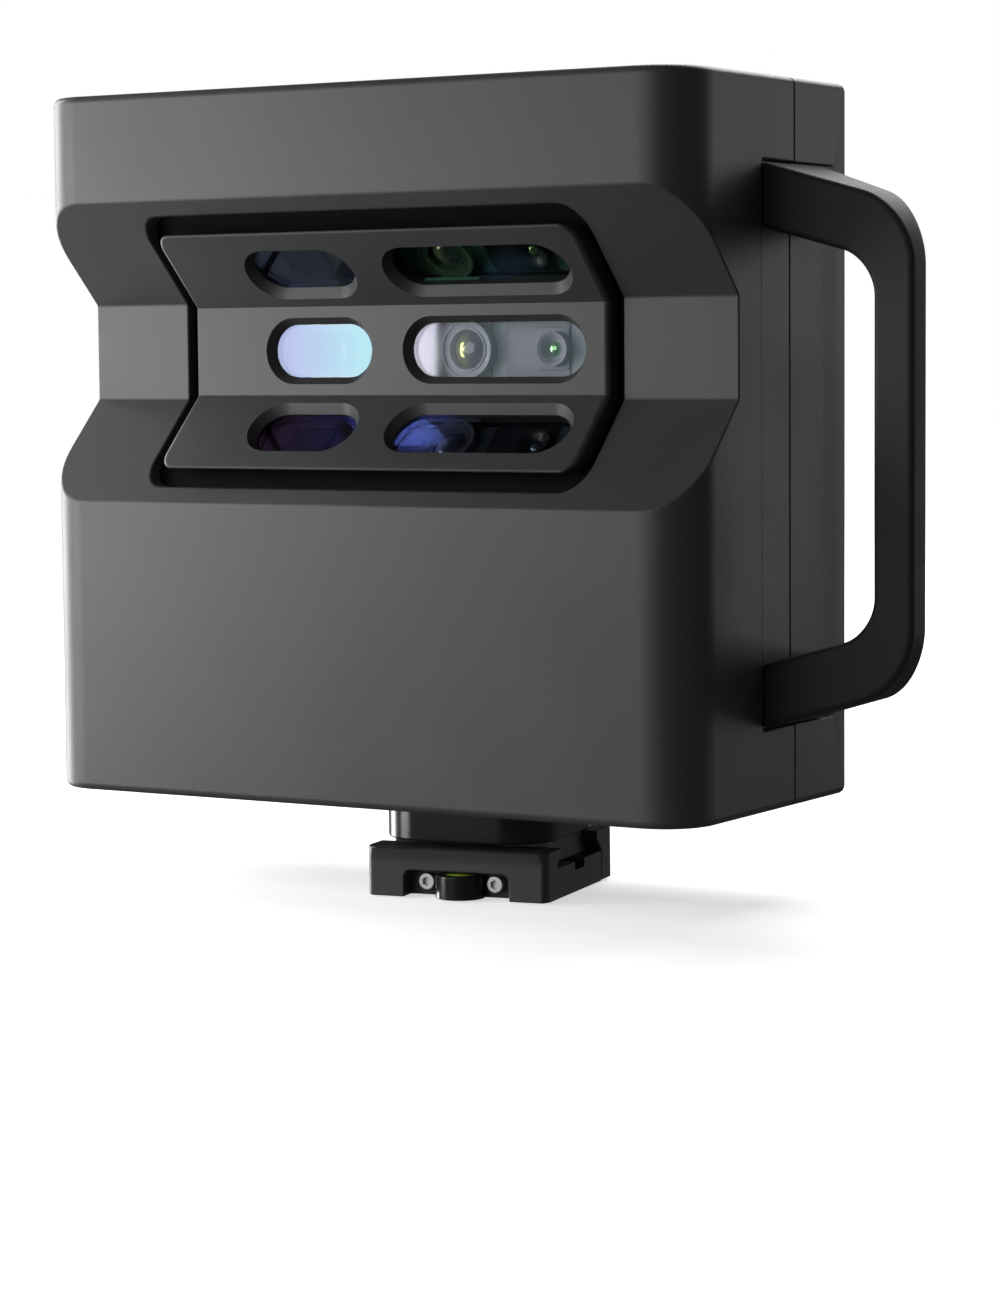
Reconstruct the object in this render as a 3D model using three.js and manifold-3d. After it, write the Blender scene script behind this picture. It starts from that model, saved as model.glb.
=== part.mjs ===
// A box-shaped terrestrial laser scanner on a quick-release tripod clamp.
//
// The head looks out of a horizontal V-shaped trench through three tiers of windows, pans
// by motor on a fixed gear, and is carried by a tapered handle on one side.
//
// Millimetres, +Z up. The origin is on the pan axis at the underside of the clamp. The head
// faces -Y and its handle is on the +X side. The clamp is turned a little about Z.

import * as THREE from "three";
import { mergeVertices } from "three/addons/utils/BufferGeometryUtils.js";
import Module from "manifold-3d";

const wasm = await Module();
wasm.setup();

// ---------------------------------------------------------------- driving dimensions

const GAP = 0.3; // clearance between neighbouring pieces
const OVERCUT = 2; // how far a cutter runs past the face that it opens

// Head casing
const WIDTH = 230;
const DEPTH = 104.5;
const HEIGHT = 215;
const LEFT = -132.2; // the pan axis is nearer the handle side
const BOTTOM = 29;
const WALL = 4;
const FRONT_CORNER = 16.5;
const BACK_CORNER = 5;
const EDGE_ROUND = 2.5;
const SEAM_FROM_FRONT = 66.7;
const SEAM_WIDTH = 0.9;
const SEAL_THICKNESS = 0.4;

const RIGHT = LEFT + WIDTH;
const FRONT = -DEPTH / 2;
const BACK = DEPTH / 2;
const TOP = BOTTOM + HEIGHT;
const SEAM = FRONT + SEAM_FROM_FRONT;
const SEAM_FRONT = SEAM - SEAM_WIDTH / 2;
const SEAM_BACK = SEAM + SEAM_WIDTH / 2;

// Trench across the front: a flat floor between two 45 degree slopes
const TRENCH_DEPTH = 31;
const TRENCH_FLAT_HALF = 14.85;
const TRENCH_MIDDLE = BOTTOM + 136.25;
const MITRE = Math.tan(Math.PI / 8); // how an offset moves the corner between floor and slope

// Window bezel in the trench
const BEZEL_PROUD = 3.2;
const BEZEL_THICKNESS = 7.2;
const BEZEL = { left: -91.2, right: 56.8, reach: 35.7, corner: 5 };
const POCKET = { left: -96.3, right: 60, reach: 41.4, corner: 8 };
const GASKET = { left: -103, right: 66.8, reach: 45.1, thickness: 1.2, corner: 6 };
const GASKET_LIGHT_OPENING = { left: -66, right: 51, halfHeight: 9.1 };

// Windows: a stadium of glass at the foot of a bevelled recess
const GLASS_HEIGHT = 16.3;
const GLASS_THICKNESS = 1.5;
const RECESS_DEPTH = 3;
const RECESS_FLARE = 2;
const UNDERCUT = 1; // how much wider the bezel is open behind the glass
const PROJECTOR_WINDOW = { x: -44.8, length: 35 };
const CAMERA_WINDOW = { x: 17.6, length: 60 };
const SLOPE_WINDOW_OFFSET = 13.4; // along the slope from its lower corner

// Sensors behind the windows, measured back from the bezel's face
const LENS_FACE = 5.8;
const EMITTER_FACE = 5.2;
const CAMERA_PLATE = { face: 9.1, halfHeight: 9.3, thickness: 2 };
const BENCH_FACE = 24;
const BENCH_THICKNESS = 2;
const BENCH = { left: -68, right: 52, reach: 50, legWidth: 16 };
const DEPTH_LENS = { x: 4.5, radius: 8.7, stem: 7, left: -11.2, right: 11.5 };
const COLOUR_LENS = { x: 34.1, radius: 5.3, stem: 4.4, left: 16.7, right: 38.8 };
const PROJECTOR = { x: -44.7, width: 14.8, height: 11.2 };

// Handle
const HANDLE_REACH = 47.3;
const HANDLE_FRONT = -6.25;
const HANDLE_ROOT_BACK = 36.75;
const HANDLE_GRIP_BACK = 4;
const HANDLE_MIDDLE = BOTTOM + 107.4;
const HANDLE_OUTER = { root: 82.5, tip: 68.9, corner: 17 };
const HANDLE_INNER = { root: 63.5, tip: 53.6, corner: 10.5, reach: 34.7 };
const HANDLE_RECESS = 1.6;
const HANDLE_SCREW = { y: 4, offset: 73, radius: 1.7, head: 3, length: 12.4 };

// Side panel on the left: display, power button and charging socket
const PANEL_Y = -10;
const DISPLAY = { z: 95, width: 34, height: 20 };
const BUTTON = { z: 67, radius: 6, proud: 1, flange: 7.6 };
const CHARGE = { z: 49, radius: 5, bore: 3.2, pin: 1 };
const SIDE_BOARD_X = LEFT + 11.2;

// Pan drive
const GEAR_MODULE = 1.2;
const PAN_TEETH = 40;
const PINION_TEETH = 12;
const BACKLASH = 0.3;
const PAN_RADIUS = (GEAR_MODULE * PAN_TEETH) / 2;
const PINION_RADIUS = (GEAR_MODULE * PINION_TEETH) / 2;
const MOTOR_X = PAN_RADIUS + PINION_RADIUS;
const MOTOR_RADIUS = 13;
const GEAR_FLOOR = 58.5;
const GEAR_HEIGHT = 6;
const SPINDLE_RADIUS = 8;
const BEARING = { outer: 13, height: 7 };
const CHASSIS_FLOOR = BOTTOM + WALL + GAP;
const CHASSIS_THICKNESS = 3;
const CHASSIS = { left: -116, right: 82, halfDepth: 42, bossRadius: 17 };

// Electronics
const MAIN_BOARD = { left: -116, right: -20, front: 24, thickness: 1.6, bottom: 60, top: 225 };
const CHIP_TOP = 29;
const CHIPS = [
  [-100, -70, 150, 180],
  [-60, -38, 120, 142],
  [-98, -80, 90, 108],
];
const SIDE_BOARD = { front: -32, back: 12, bottom: 44, top: 112, thickness: 1.6 };
const BATTERY = { left: 10, right: 84, front: 21, back: 46, bottom: 70, top: 205, corner: 6 };
const ANTENNA = { left: -62, right: -37, front: 20, back: 45, height: 7.2 };

// Hub and dovetail plate under the head
const HUB = { half: 27.5, corner: 16, bottom: 17, top: 28.4 };
const PLATE = { length: 50, bottom: 9.8, wide: 18.8, neck: 15.4, top: 16.7 };
const PLATE_SCREW_X = 14.5;
const STOP_PIN_X = 21.2;
const SPINDLE_FLANGE = { radius: 10, top: 20 };

// Quick-release clamp, in its own frame: the plate slides along its X, and its front is -Y
const CLAMP_TURN = THREE.MathUtils.degToRad(10);
const CLAMP = { half: 29.5, front: -28.5, flare: 0.9, back: 20, floor: 9.5, lip: 15.2 };
const DOVETAIL = { wide: 19.3, neck: 15.9, low: 10.5, high: 13.9 };
const JAW = { front: 20.3, back: 28.5, top: 16.2 };
const STOP_GROOVE = { inner: 13.5, half: 4.2, floor: 6.8 };
const LEVEL_RECESS = { half: 17, back: -22, top: 8.2 };
const TONGUE = { radius: 7.6, y: -24.5, top: 7.2 };
const VIAL = { radius: 4.8, bottom: 3.8, top: 7.6 };
const GUIDE = { x: 11.1, z: 4.4, radius: 1.5, head: 2.6 };
const KNOB = { z: 6.4, radius: 6, back: 42, screw: 2, tip: 8 };
const BUSHING = { radius: 6.2, bore: 3.3, top: 6.2 };

// ---------------------------------------------------------------- finishes

const finish = (color, roughness, metalness) =>
  new THREE.MeshStandardMaterial({ color, roughness, metalness });

const FINISH = {
  casing: finish(0x4a4a4c, 0.6, 0.1),
  bezel: finish(0x565658, 0.55, 0.1),
  seal: finish(0x101012, 0.9, 0),
  glass: finish(0x8fa8d8, 0.08, 0.2),
  lens: finish(0x1c1c26, 0.25, 0.3),
  emitter: finish(0x2c3448, 0.3, 0.3),
  aluminium: finish(0xa8aaad, 0.4, 0.9),
  anodised: finish(0x141416, 0.3, 0.6),
  steel: finish(0xc4c4c8, 0.3, 1),
  handle: finish(0x2a2a2c, 0.6, 0.1),
  board: finish(0x1d4a32, 0.6, 0.1),
  battery: finish(0x24395c, 0.6, 0),
  brass: finish(0xb08d4a, 0.35, 0.9),
  vial: finish(0xb8dc5a, 0.1, 0),
  ceramic: finish(0xd8d2c4, 0.7, 0),
};

// ---------------------------------------------------------------- shapes and solids

/** An outline through corners [x, y, radius]; a radius rounds that corner with an arc. */
function outline(corners) {
  const shape = new THREE.Shape();
  corners.forEach(([x, y, radius = 0], i) => {
    const corner = new THREE.Vector2(x, y);
    if (radius === 0) {
      if (i === 0) shape.moveTo(x, y);
      else shape.lineTo(x, y);
      return;
    }
    const towards = ([ax, ay]) => new THREE.Vector2(ax, ay).sub(corner).normalize();
    const before = towards(corners.at(i - 1));
    const after = towards(corners[(i + 1) % corners.length]);
    const half = Math.acos(before.dot(after)) / 2;
    const run = radius / Math.tan(half);
    const centre = before.clone().add(after).setLength(radius / Math.sin(half)).add(corner);
    const start = before.clone().multiplyScalar(run).add(corner).sub(centre).angle();
    const end = after.clone().multiplyScalar(run).add(corner).sub(centre).angle();
    // An arc that is a path's first curve would drop the line from the corner before it.
    if (i > 0) shape.lineTo(centre.x + radius * Math.cos(start), centre.y + radius * Math.sin(start));
    shape.absarc(centre.x, centre.y, radius, start, end, before.cross(after) > 0);
  });
  shape.closePath();
  return shape;
}

const rectangle = (x0, x1, y0, y1, radius = 0) =>
  outline([
    [x0, y0, radius],
    [x1, y0, radius],
    [x1, y1, radius],
    [x0, y1, radius],
  ]);

/** A bar with round ends, length by height over all, centred at x. */
function stadium(x, length, height) {
  const radius = height / 2;
  const reach = length / 2 - radius;
  const shape = new THREE.Shape();
  shape.absarc(x + reach, 0, radius, -Math.PI / 2, Math.PI / 2, false);
  shape.absarc(x - reach, 0, radius, Math.PI / 2, (3 * Math.PI) / 2, false);
  shape.closePath();
  return shape;
}

/** A shape of the XY plane extruded from z0 to z1, its two rims rounded by bevel. */
function prismZ(shape, z0, z1, { segments = 2, bevel = 0 } = {}) {
  return new THREE.ExtrudeGeometry(shape, {
    depth: z1 - z0 - 2 * bevel,
    curveSegments: segments,
    bevelEnabled: bevel > 0,
    bevelSize: bevel,
    bevelThickness: bevel,
    bevelOffset: -bevel,
    bevelSegments: 1,
  }).translate(0, 0, z0 + bevel);
}

/** A shape whose coordinates are (x, z), extruded from y0 to y1. */
function prismY(shape, y0, y1, options) {
  return prismZ(shape, 0, y1 - y0, options).rotateX(Math.PI / 2).translate(0, y1, 0);
}

/** A shape whose coordinates are (y, z), extruded from x0 to x1. */
function prismX(shape, x0, x1, options) {
  const turn = new THREE.Matrix4().set(0, 0, 1, 0, 1, 0, 0, 0, 0, 1, 0, 0, 0, 0, 0, 1);
  return prismZ(shape, 0, x1 - x0, options).applyMatrix4(turn).translate(x0, 0, 0);
}

function box(x0, x1, y0, y1, z0, z1) {
  return new THREE.BoxGeometry(x1 - x0, y1 - y0, z1 - z0).translate(
    (x0 + x1) / 2,
    (y0 + y1) / 2,
    (z0 + z1) / 2,
  );
}

/** A turned piece about Z through points [radius, height] that start and end on the axis. */
function turned(points, segments = 12) {
  return new THREE.LatheGeometry(
    points.map(([r, h]) => new THREE.Vector2(r, h)),
    segments,
  ).rotateX(Math.PI / 2);
}

const rod = (radius, z0, z1, segments = 12) =>
  turned(
    [
      [0, z0],
      [radius, z0],
      [radius, z1],
      [0, z1],
    ],
    segments,
  );

const ring = (inner, outer, z0, z1, segments = 16) =>
  turned(
    [
      [inner, z0],
      [outer, z0],
      [outer, z1],
      [inner, z1],
      [inner, z0],
    ],
    segments,
  );

/** A screw along Z: its head's top at zero, its shank running down. */
const screw = (head, headHeight, shank, length) =>
  turned(
    [
      [0, -headHeight - length],
      [shank, -headHeight - length],
      [shank, -headHeight],
      [head, -headHeight],
      [head, 0],
      [0, 0],
    ],
    10,
  );

/** Turns a piece made along +Z to lie along +X or +Y. */
const alongX = (geometry) => geometry.rotateY(Math.PI / 2);
const alongY = (geometry) => geometry.rotateX(-Math.PI / 2);

/** A closed geometry as a solid for joining and cutting. */
function solidOf(shape) {
  if (!shape.isBufferGeometry) return shape;
  const bare = shape.clone();
  bare.deleteAttribute("normal");
  bare.deleteAttribute("uv");
  const merged = mergeVertices(bare, 1e-4);
  return new wasm.Manifold(
    new wasm.Mesh({
      numProp: 3,
      vertProperties: merged.attributes.position.array,
      triVerts: new Uint32Array(merged.index.array),
    }),
  );
}

const join = (first, ...rest) => rest.reduce((a, b) => a.add(solidOf(b)), solidOf(first));
const cut = (first, ...rest) => rest.reduce((a, b) => a.subtract(solidOf(b)), solidOf(first));
const common = (first, second) => solidOf(first).intersect(solidOf(second));

/** A named sub-part of the assembly. */
function part(name, shape, material) {
  let geometry = shape;
  if (!shape.isBufferGeometry) {
    const { vertProperties, triVerts, numProp } = shape.getMesh();
    const indexed = new THREE.BufferGeometry();
    indexed.setAttribute("position", new THREE.BufferAttribute(vertProperties, numProp));
    indexed.setIndex(new THREE.BufferAttribute(triVerts, 1));
    geometry = indexed.toNonIndexed();
    geometry.computeVertexNormals();
  }
  const mesh = new THREE.Mesh(geometry, material);
  mesh.name = name;
  return mesh;
}

const groupOf = (...meshes) => new THREE.Group().add(...meshes);

// ---------------------------------------------------------------- casing

/** The head's plan outline, drawn in by inset on every side. */
const headPlan = (inset) =>
  outline([
    [LEFT + inset, FRONT + inset, FRONT_CORNER - inset],
    [RIGHT - inset, FRONT + inset, FRONT_CORNER - inset],
    [RIGHT - inset, BACK - inset, BACK_CORNER - inset],
    [LEFT + inset, BACK - inset, BACK_CORNER - inset],
  ]);

/** Everything in front of the trench surface, that surface moved back by offset. */
function trench(offset) {
  const bottomY = FRONT + TRENCH_DEPTH + offset;
  const half = TRENCH_FLAT_HALF + offset * MITRE;
  const mouthY = FRONT - 20;
  const mouthHalf = half + bottomY - mouthY;
  const profile = outline([
    [mouthY, TRENCH_MIDDLE - mouthHalf],
    [bottomY, TRENCH_MIDDLE - half],
    [bottomY, TRENCH_MIDDLE + half],
    [mouthY, TRENCH_MIDDLE + mouthHalf],
  ]);
  return prismX(profile, LEFT - 10, RIGHT + 10);
}

/** A bent sheet that follows the trench between two offsets, trimmed to a rectangle. */
function trenchSheet(near, far, { left, right, reach, corner = 0 }) {
  const trim = rectangle(left, right, TRENCH_MIDDLE - reach, TRENCH_MIDDLE + reach, corner);
  return common(cut(trench(far), trench(near)), prismY(trim, FRONT - OVERCUT, BACK));
}

// The bezel's own three faces, each with a frame whose +Z looks out of it.
const FACES = ["upper", "middle", "lower"].map((name, i) => {
  const side = 1 - i;
  const flatHalf = TRENCH_FLAT_HALF - BEZEL_PROUD * MITRE;
  const along = Math.abs(side) * SLOPE_WINDOW_OFFSET * Math.SQRT1_2;
  const frame = new THREE.Matrix4().makeRotationX(Math.PI / 2 + (side * Math.PI) / 4);
  frame.setPosition(
    0,
    FRONT + TRENCH_DEPTH - BEZEL_PROUD - along,
    TRENCH_MIDDLE + side * (flatHalf + along),
  );
  return { name, frame };
});

const windowGlass = ({ x, length }, z0, z1, gap = 0) =>
  prismZ(stadium(x, length - 2 * gap, GLASS_HEIGHT - 2 * gap), z0, z1, { segments: 4 });

/** The cutter for one window: a bevelled recess, the glass's seat, and an undercut behind it. */
function windowCutter(window) {
  const flare = new THREE.ExtrudeGeometry(stadium(window.x, window.length, GLASS_HEIGHT), {
    depth: OVERCUT,
    curveSegments: 4,
    bevelSize: RECESS_FLARE,
    bevelThickness: RECESS_DEPTH,
    bevelSegments: 1,
  });
  const seat = -RECESS_DEPTH - GLASS_THICKNESS - GAP;
  return join(
    flare,
    windowGlass(window, seat - 1, GAP - RECESS_DEPTH),
    windowGlass(window, -BEZEL_THICKNESS - OVERCUT, seat, -UNDERCUT),
  );
}

const POST_OFFSET = WALL + 5; // from the outside of the casing to a corner post's axis
const POSTS = [
  ["lower_left", LEFT + POST_OFFSET, BOTTOM + POST_OFFSET],
  ["lower_right", RIGHT - POST_OFFSET, BOTTOM + POST_OFFSET],
  ["upper_left", LEFT + POST_OFFSET, TOP - POST_OFFSET],
  ["upper_right", RIGHT - POST_OFFSET, TOP - POST_OFFSET],
];
const POST = { radius: 5.5, depth: 20, bore: 1.9, counterbore: 3.5, sink: 4 };

const rodY = (x, z, radius, y0, y1, segments = 12) =>
  alongY(rod(radius, y0, y1, segments)).translate(x, 0, z);

const rodX = (y, z, radius, x0, x1, segments = 12) =>
  alongX(rod(radius, x0, x1, segments)).translate(0, y, z);

const handleSign = [
  ["upper", 1],
  ["lower", -1],
];

function casing() {
  const inside = prismZ(headPlan(WALL), BOTTOM + WALL, TOP - WALL);
  const hollow = cut(inside, trench(WALL));
  const recess = rectangle(
    HANDLE_FRONT - GAP,
    HANDLE_ROOT_BACK + GAP,
    HANDLE_MIDDLE - HANDLE_OUTER.root - GAP,
    HANDLE_MIDDLE + HANDLE_OUTER.root + GAP,
  );
  const shell = cut(
    prismZ(headPlan(0), BOTTOM, TOP, { bevel: EDGE_ROUND }),
    trench(0),
    hollow,
    prismX(recess, RIGHT - HANDLE_RECESS, RIGHT + OVERCUT),
  );
  const pocket = rectangle(
    POCKET.left,
    POCKET.right,
    TRENCH_MIDDLE - POCKET.reach,
    TRENCH_MIDDLE + POCKET.reach,
    POCKET.corner,
  );
  const sideOpening = rectangle(
    PANEL_Y - DISPLAY.width / 2,
    PANEL_Y + DISPLAY.width / 2,
    DISPLAY.z - DISPLAY.height / 2,
    DISPLAY.z + DISPLAY.height / 2,
    1.5,
  );
  const sideWall = [LEFT - OVERCUT, LEFT + WALL + OVERCUT];
  const frontHalf = common(
    shell,
    box(LEFT - 1, RIGHT + 1, FRONT - 1, SEAM_FRONT, BOTTOM - 1, TOP + 1),
  );
  const rearHalf = common(
    shell,
    box(LEFT - 1, RIGHT + 1, SEAM_BACK, BACK + 1, BOTTOM - 1, TOP + 1),
  );
  const front = cut(
    join(
      frontHalf,
      ...POSTS.map(([, x, z]) => rodY(x, z, POST.radius, SEAM_FRONT - POST.depth, SEAM_FRONT)),
    ),
    prismY(pocket, FRONT - OVERCUT, FRONT + TRENCH_DEPTH + WALL + OVERCUT),
    rod(SPINDLE_RADIUS + 1, BOTTOM - OVERCUT, BOTTOM + WALL + OVERCUT, 16),
    prismX(sideOpening, ...sideWall),
    rodX(PANEL_Y, BUTTON.z, BUTTON.radius + GAP, ...sideWall, 16),
    rodX(PANEL_Y, CHARGE.z, CHARGE.radius + GAP, ...sideWall),
    ...handleSign.map(([, side]) =>
      rodX(
        HANDLE_SCREW.y,
        HANDLE_MIDDLE + side * HANDLE_SCREW.offset,
        HANDLE_SCREW.radius + GAP,
        RIGHT - WALL - OVERCUT,
        RIGHT,
        12,
      ),
    ),
    ...POSTS.map(([, x, z]) =>
      rodY(x, z, POST.bore, SEAM_FRONT - POST.depth + OVERCUT, SEAM_FRONT + 1, 10),
    ),
  );
  const rear = cut(
    join(
      rearHalf,
      ...POSTS.map(([, x, z]) => rodY(x, z, POST.radius, SEAM_BACK, BACK - WALL / 2)),
    ),
    ...POSTS.map(([, x, z]) => rodY(x, z, POST.bore, SEAM_BACK - 1, BACK + OVERCUT, 10)),
    ...POSTS.map(([, x, z]) => rodY(x, z, POST.counterbore, BACK - POST.sink, BACK + OVERCUT)),
  );
  const sealInset = 0.8;
  const frame = (inset) =>
    rectangle(LEFT + inset, RIGHT - inset, BOTTOM + inset, TOP - inset, EDGE_ROUND);
  const seal = cut(
    prismY(frame(sealInset), SEAM - SEAL_THICKNESS / 2, SEAM + SEAL_THICKNESS / 2),
    prismY(frame(WALL), SEAM - 1, SEAM + 1),
    prismX(recess, RIGHT - HANDLE_RECESS - GAP, RIGHT + OVERCUT),
  );
  const screwHead = 3;
  const screwLength = BACK - POST.sink - SEAM + POST.depth - 6;
  const screws = POSTS.map(([place, x, z]) =>
    part(
      `cover_screw_${place}`,
      alongY(screw(POST.counterbore - GAP, screwHead, POST.bore - GAP, screwLength)).translate(
        x,
        BACK - POST.sink + screwHead + GAP,
        z,
      ),
      FINISH.steel,
    ),
  );
  return groupOf(
    part("front_housing", front, FINISH.casing),
    part("rear_cover", rear, FINISH.casing),
    part("seam_gasket", seal, FINISH.seal),
    ...screws,
  );
}

// ---------------------------------------------------------------- windows and sensors

function windowModule() {
  const bezelBack = BEZEL_THICKNESS - BEZEL_PROUD;
  const gasketNear = bezelBack + GAP;
  const { left, right, halfHeight } = GASKET_LIGHT_OPENING;
  const light = box(left, right, -halfHeight, halfHeight, -16, 0);
  const bezel = cut(
    trenchSheet(-BEZEL_PROUD, bezelBack, BEZEL),
    ...FACES.flatMap(({ frame }) =>
      [PROJECTOR_WINDOW, CAMERA_WINDOW].map((window) =>
        windowCutter(window).transform(frame.elements),
      ),
    ),
  );
  const gasket = cut(
    trenchSheet(gasketNear, gasketNear + GASKET.thickness, GASKET),
    ...FACES.map(({ frame }) => light.clone().applyMatrix4(frame)),
  );
  return groupOf(
    part("window_bezel", bezel, FINISH.bezel),
    part("bezel_gasket", gasket, FINISH.seal),
  );
}

/** A camera: its dark face plate, the stem behind it and the lens barrel in front. */
function camera({ x, radius, stem, left, right }) {
  const { face, halfHeight, thickness } = CAMERA_PLATE;
  const plateBack = -face - thickness;
  const lens = turned([
    [0, 1 - BENCH_FACE],
    [stem, 1 - BENCH_FACE],
    [stem, plateBack],
    [radius, plateBack],
    [radius, -LENS_FACE - 0.5],
    [radius - 0.5, -LENS_FACE],
    [radius - 1.4, -LENS_FACE],
    [radius - 1.9, -LENS_FACE - 1],
    [(radius - 1.9) / 2, -LENS_FACE - 0.4],
    [0, -LENS_FACE - 0.2],
  ]).translate(x, 0, 0);
  return join(lens, box(left, right, -halfHeight, halfHeight, plateBack, -face));
}

function projector() {
  const { x, width, height } = PROJECTOR;
  const face = -EMITTER_FACE - 1.8;
  const body = box(x - width / 2, x + width / 2, -height / 2, height / 2, 1 - BENCH_FACE, face);
  const ledge = box(
    x - width / 2 + 1.5,
    x + width / 2 - 1.5,
    -height / 2 + 1.5,
    height / 2 - 1.5,
    face - 1,
    -EMITTER_FACE,
  );
  return join(body, ledge);
}

/** One tier of the sensor stack, laid out in the frame of its face of the bezel. */
function sensorTier({ name, frame }) {
  const glassBack = -RECESS_DEPTH - GLASS_THICKNESS;
  const tier = groupOf(
    part(
      `projector_window_${name}`,
      windowGlass(PROJECTOR_WINDOW, glassBack, -RECESS_DEPTH, GAP),
      FINISH.glass,
    ),
    part(
      `camera_window_${name}`,
      windowGlass(CAMERA_WINDOW, glassBack, -RECESS_DEPTH, GAP),
      FINISH.glass,
    ),
    part(`depth_camera_${name}`, camera(DEPTH_LENS), FINISH.lens),
    part(`colour_camera_${name}`, camera(COLOUR_LENS), FINISH.lens),
    part(`pattern_projector_${name}`, projector(), FINISH.emitter),
  );
  tier.applyMatrix4(frame);
  return tier;
}

/** The bent aluminium bench that carries the three tiers, on two legs. */
function opticalBench() {
  const near = BENCH_FACE - BEZEL_PROUD;
  const foot = CHASSIS_FLOOR + CHASSIS_THICKNESS + GAP;
  const lowEdge = TRENCH_MIDDLE - BENCH.reach;
  const slopeFoot = FRONT + TRENCH_DEPTH + near * (1 + MITRE) + TRENCH_FLAT_HALF - BENCH.reach;
  const legs = [BENCH.left, BENCH.right - BENCH.legWidth].map((x) =>
    box(
      x,
      x + BENCH.legWidth,
      slopeFoot,
      slopeFoot + BENCH_THICKNESS * Math.SQRT2,
      foot,
      lowEdge + 1,
    ),
  );
  return part(
    "optical_bench",
    join(trenchSheet(near, near + BENCH_THICKNESS, BENCH), ...legs),
    FINISH.aluminium,
  );
}

// ---------------------------------------------------------------- handle

function handle() {
  const inner = -HANDLE_RECESS + GAP;
  const face = outline([
    [inner, HANDLE_OUTER.root],
    [inner, HANDLE_INNER.root],
    [HANDLE_INNER.reach, HANDLE_INNER.tip, HANDLE_INNER.corner],
    [HANDLE_INNER.reach, -HANDLE_INNER.tip, HANDLE_INNER.corner],
    [inner, -HANDLE_INNER.root],
    [inner, -HANDLE_OUTER.root],
    [HANDLE_REACH, -HANDLE_OUTER.tip, HANDLE_OUTER.corner],
    [HANDLE_REACH, HANDLE_OUTER.tip, HANDLE_OUTER.corner],
  ]);
  const plan = new THREE.Shape();
  plan.moveTo(-5, HANDLE_FRONT);
  plan.lineTo(HANDLE_REACH - 2, HANDLE_FRONT);
  plan.absarc(HANDLE_REACH - 2, HANDLE_FRONT + 2, 2, -Math.PI / 2, 0, false);
  plan.lineTo(HANDLE_REACH, HANDLE_GRIP_BACK);
  plan.bezierCurveTo(38, HANDLE_GRIP_BACK + 4, 22, HANDLE_ROOT_BACK - 4, 0, HANDLE_ROOT_BACK);
  plan.lineTo(-5, HANDLE_ROOT_BACK);
  plan.closePath();
  const body = common(
    prismY(face, HANDLE_FRONT - 1, BACK, { segments: 4 }),
    prismZ(plan, -HANDLE_OUTER.root - 1, HANDLE_OUTER.root + 1, { segments: 6 }),
  ).translate([RIGHT, 0, HANDLE_MIDDLE]);
  const screwFrom = RIGHT - WALL - GAP;
  const at = (side) => [HANDLE_SCREW.y, HANDLE_MIDDLE + side * HANDLE_SCREW.offset];
  const bores = handleSign.map(([, side]) =>
    rodX(
      ...at(side),
      HANDLE_SCREW.radius + GAP,
      RIGHT - WALL,
      screwFrom + HANDLE_SCREW.length + GAP,
      12,
    ),
  );
  const screws = handleSign.map(([place, side]) => {
    const [y, z] = at(side);
    const shape = screw(HANDLE_SCREW.head, 3, HANDLE_SCREW.radius, HANDLE_SCREW.length);
    return part(
      `handle_screw_${place}`,
      shape.rotateY(-Math.PI / 2).translate(screwFrom - 3, y, z),
      FINISH.steel,
    );
  });
  return groupOf(part("handle", cut(body, ...bores), FINISH.handle), ...screws);
}

// ---------------------------------------------------------------- side panel

function buttonSpring() {
  const turns = 3;
  const radius = 4;
  const from = LEFT + WALL + GAP + 1.2 + GAP + 0.3;
  const to = SIDE_BOARD_X - GAP - 0.3;
  class Helix extends THREE.Curve {
    getPoint(t, target = new THREE.Vector3()) {
      const angle = t * turns * 2 * Math.PI;
      const x = THREE.MathUtils.lerp(from, to, t);
      return target.set(x, radius * Math.cos(angle), radius * Math.sin(angle));
    }
  }
  const wire = new THREE.Shape().absarc(0, 0, 0.3, 0, 2 * Math.PI, false);
  return new THREE.ExtrudeGeometry(wire, {
    steps: 10 * turns,
    curveSegments: 2,
    bevelEnabled: false,
    extrudePath: new Helix(),
  }).translate(0, PANEL_Y, BUTTON.z);
}

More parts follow.
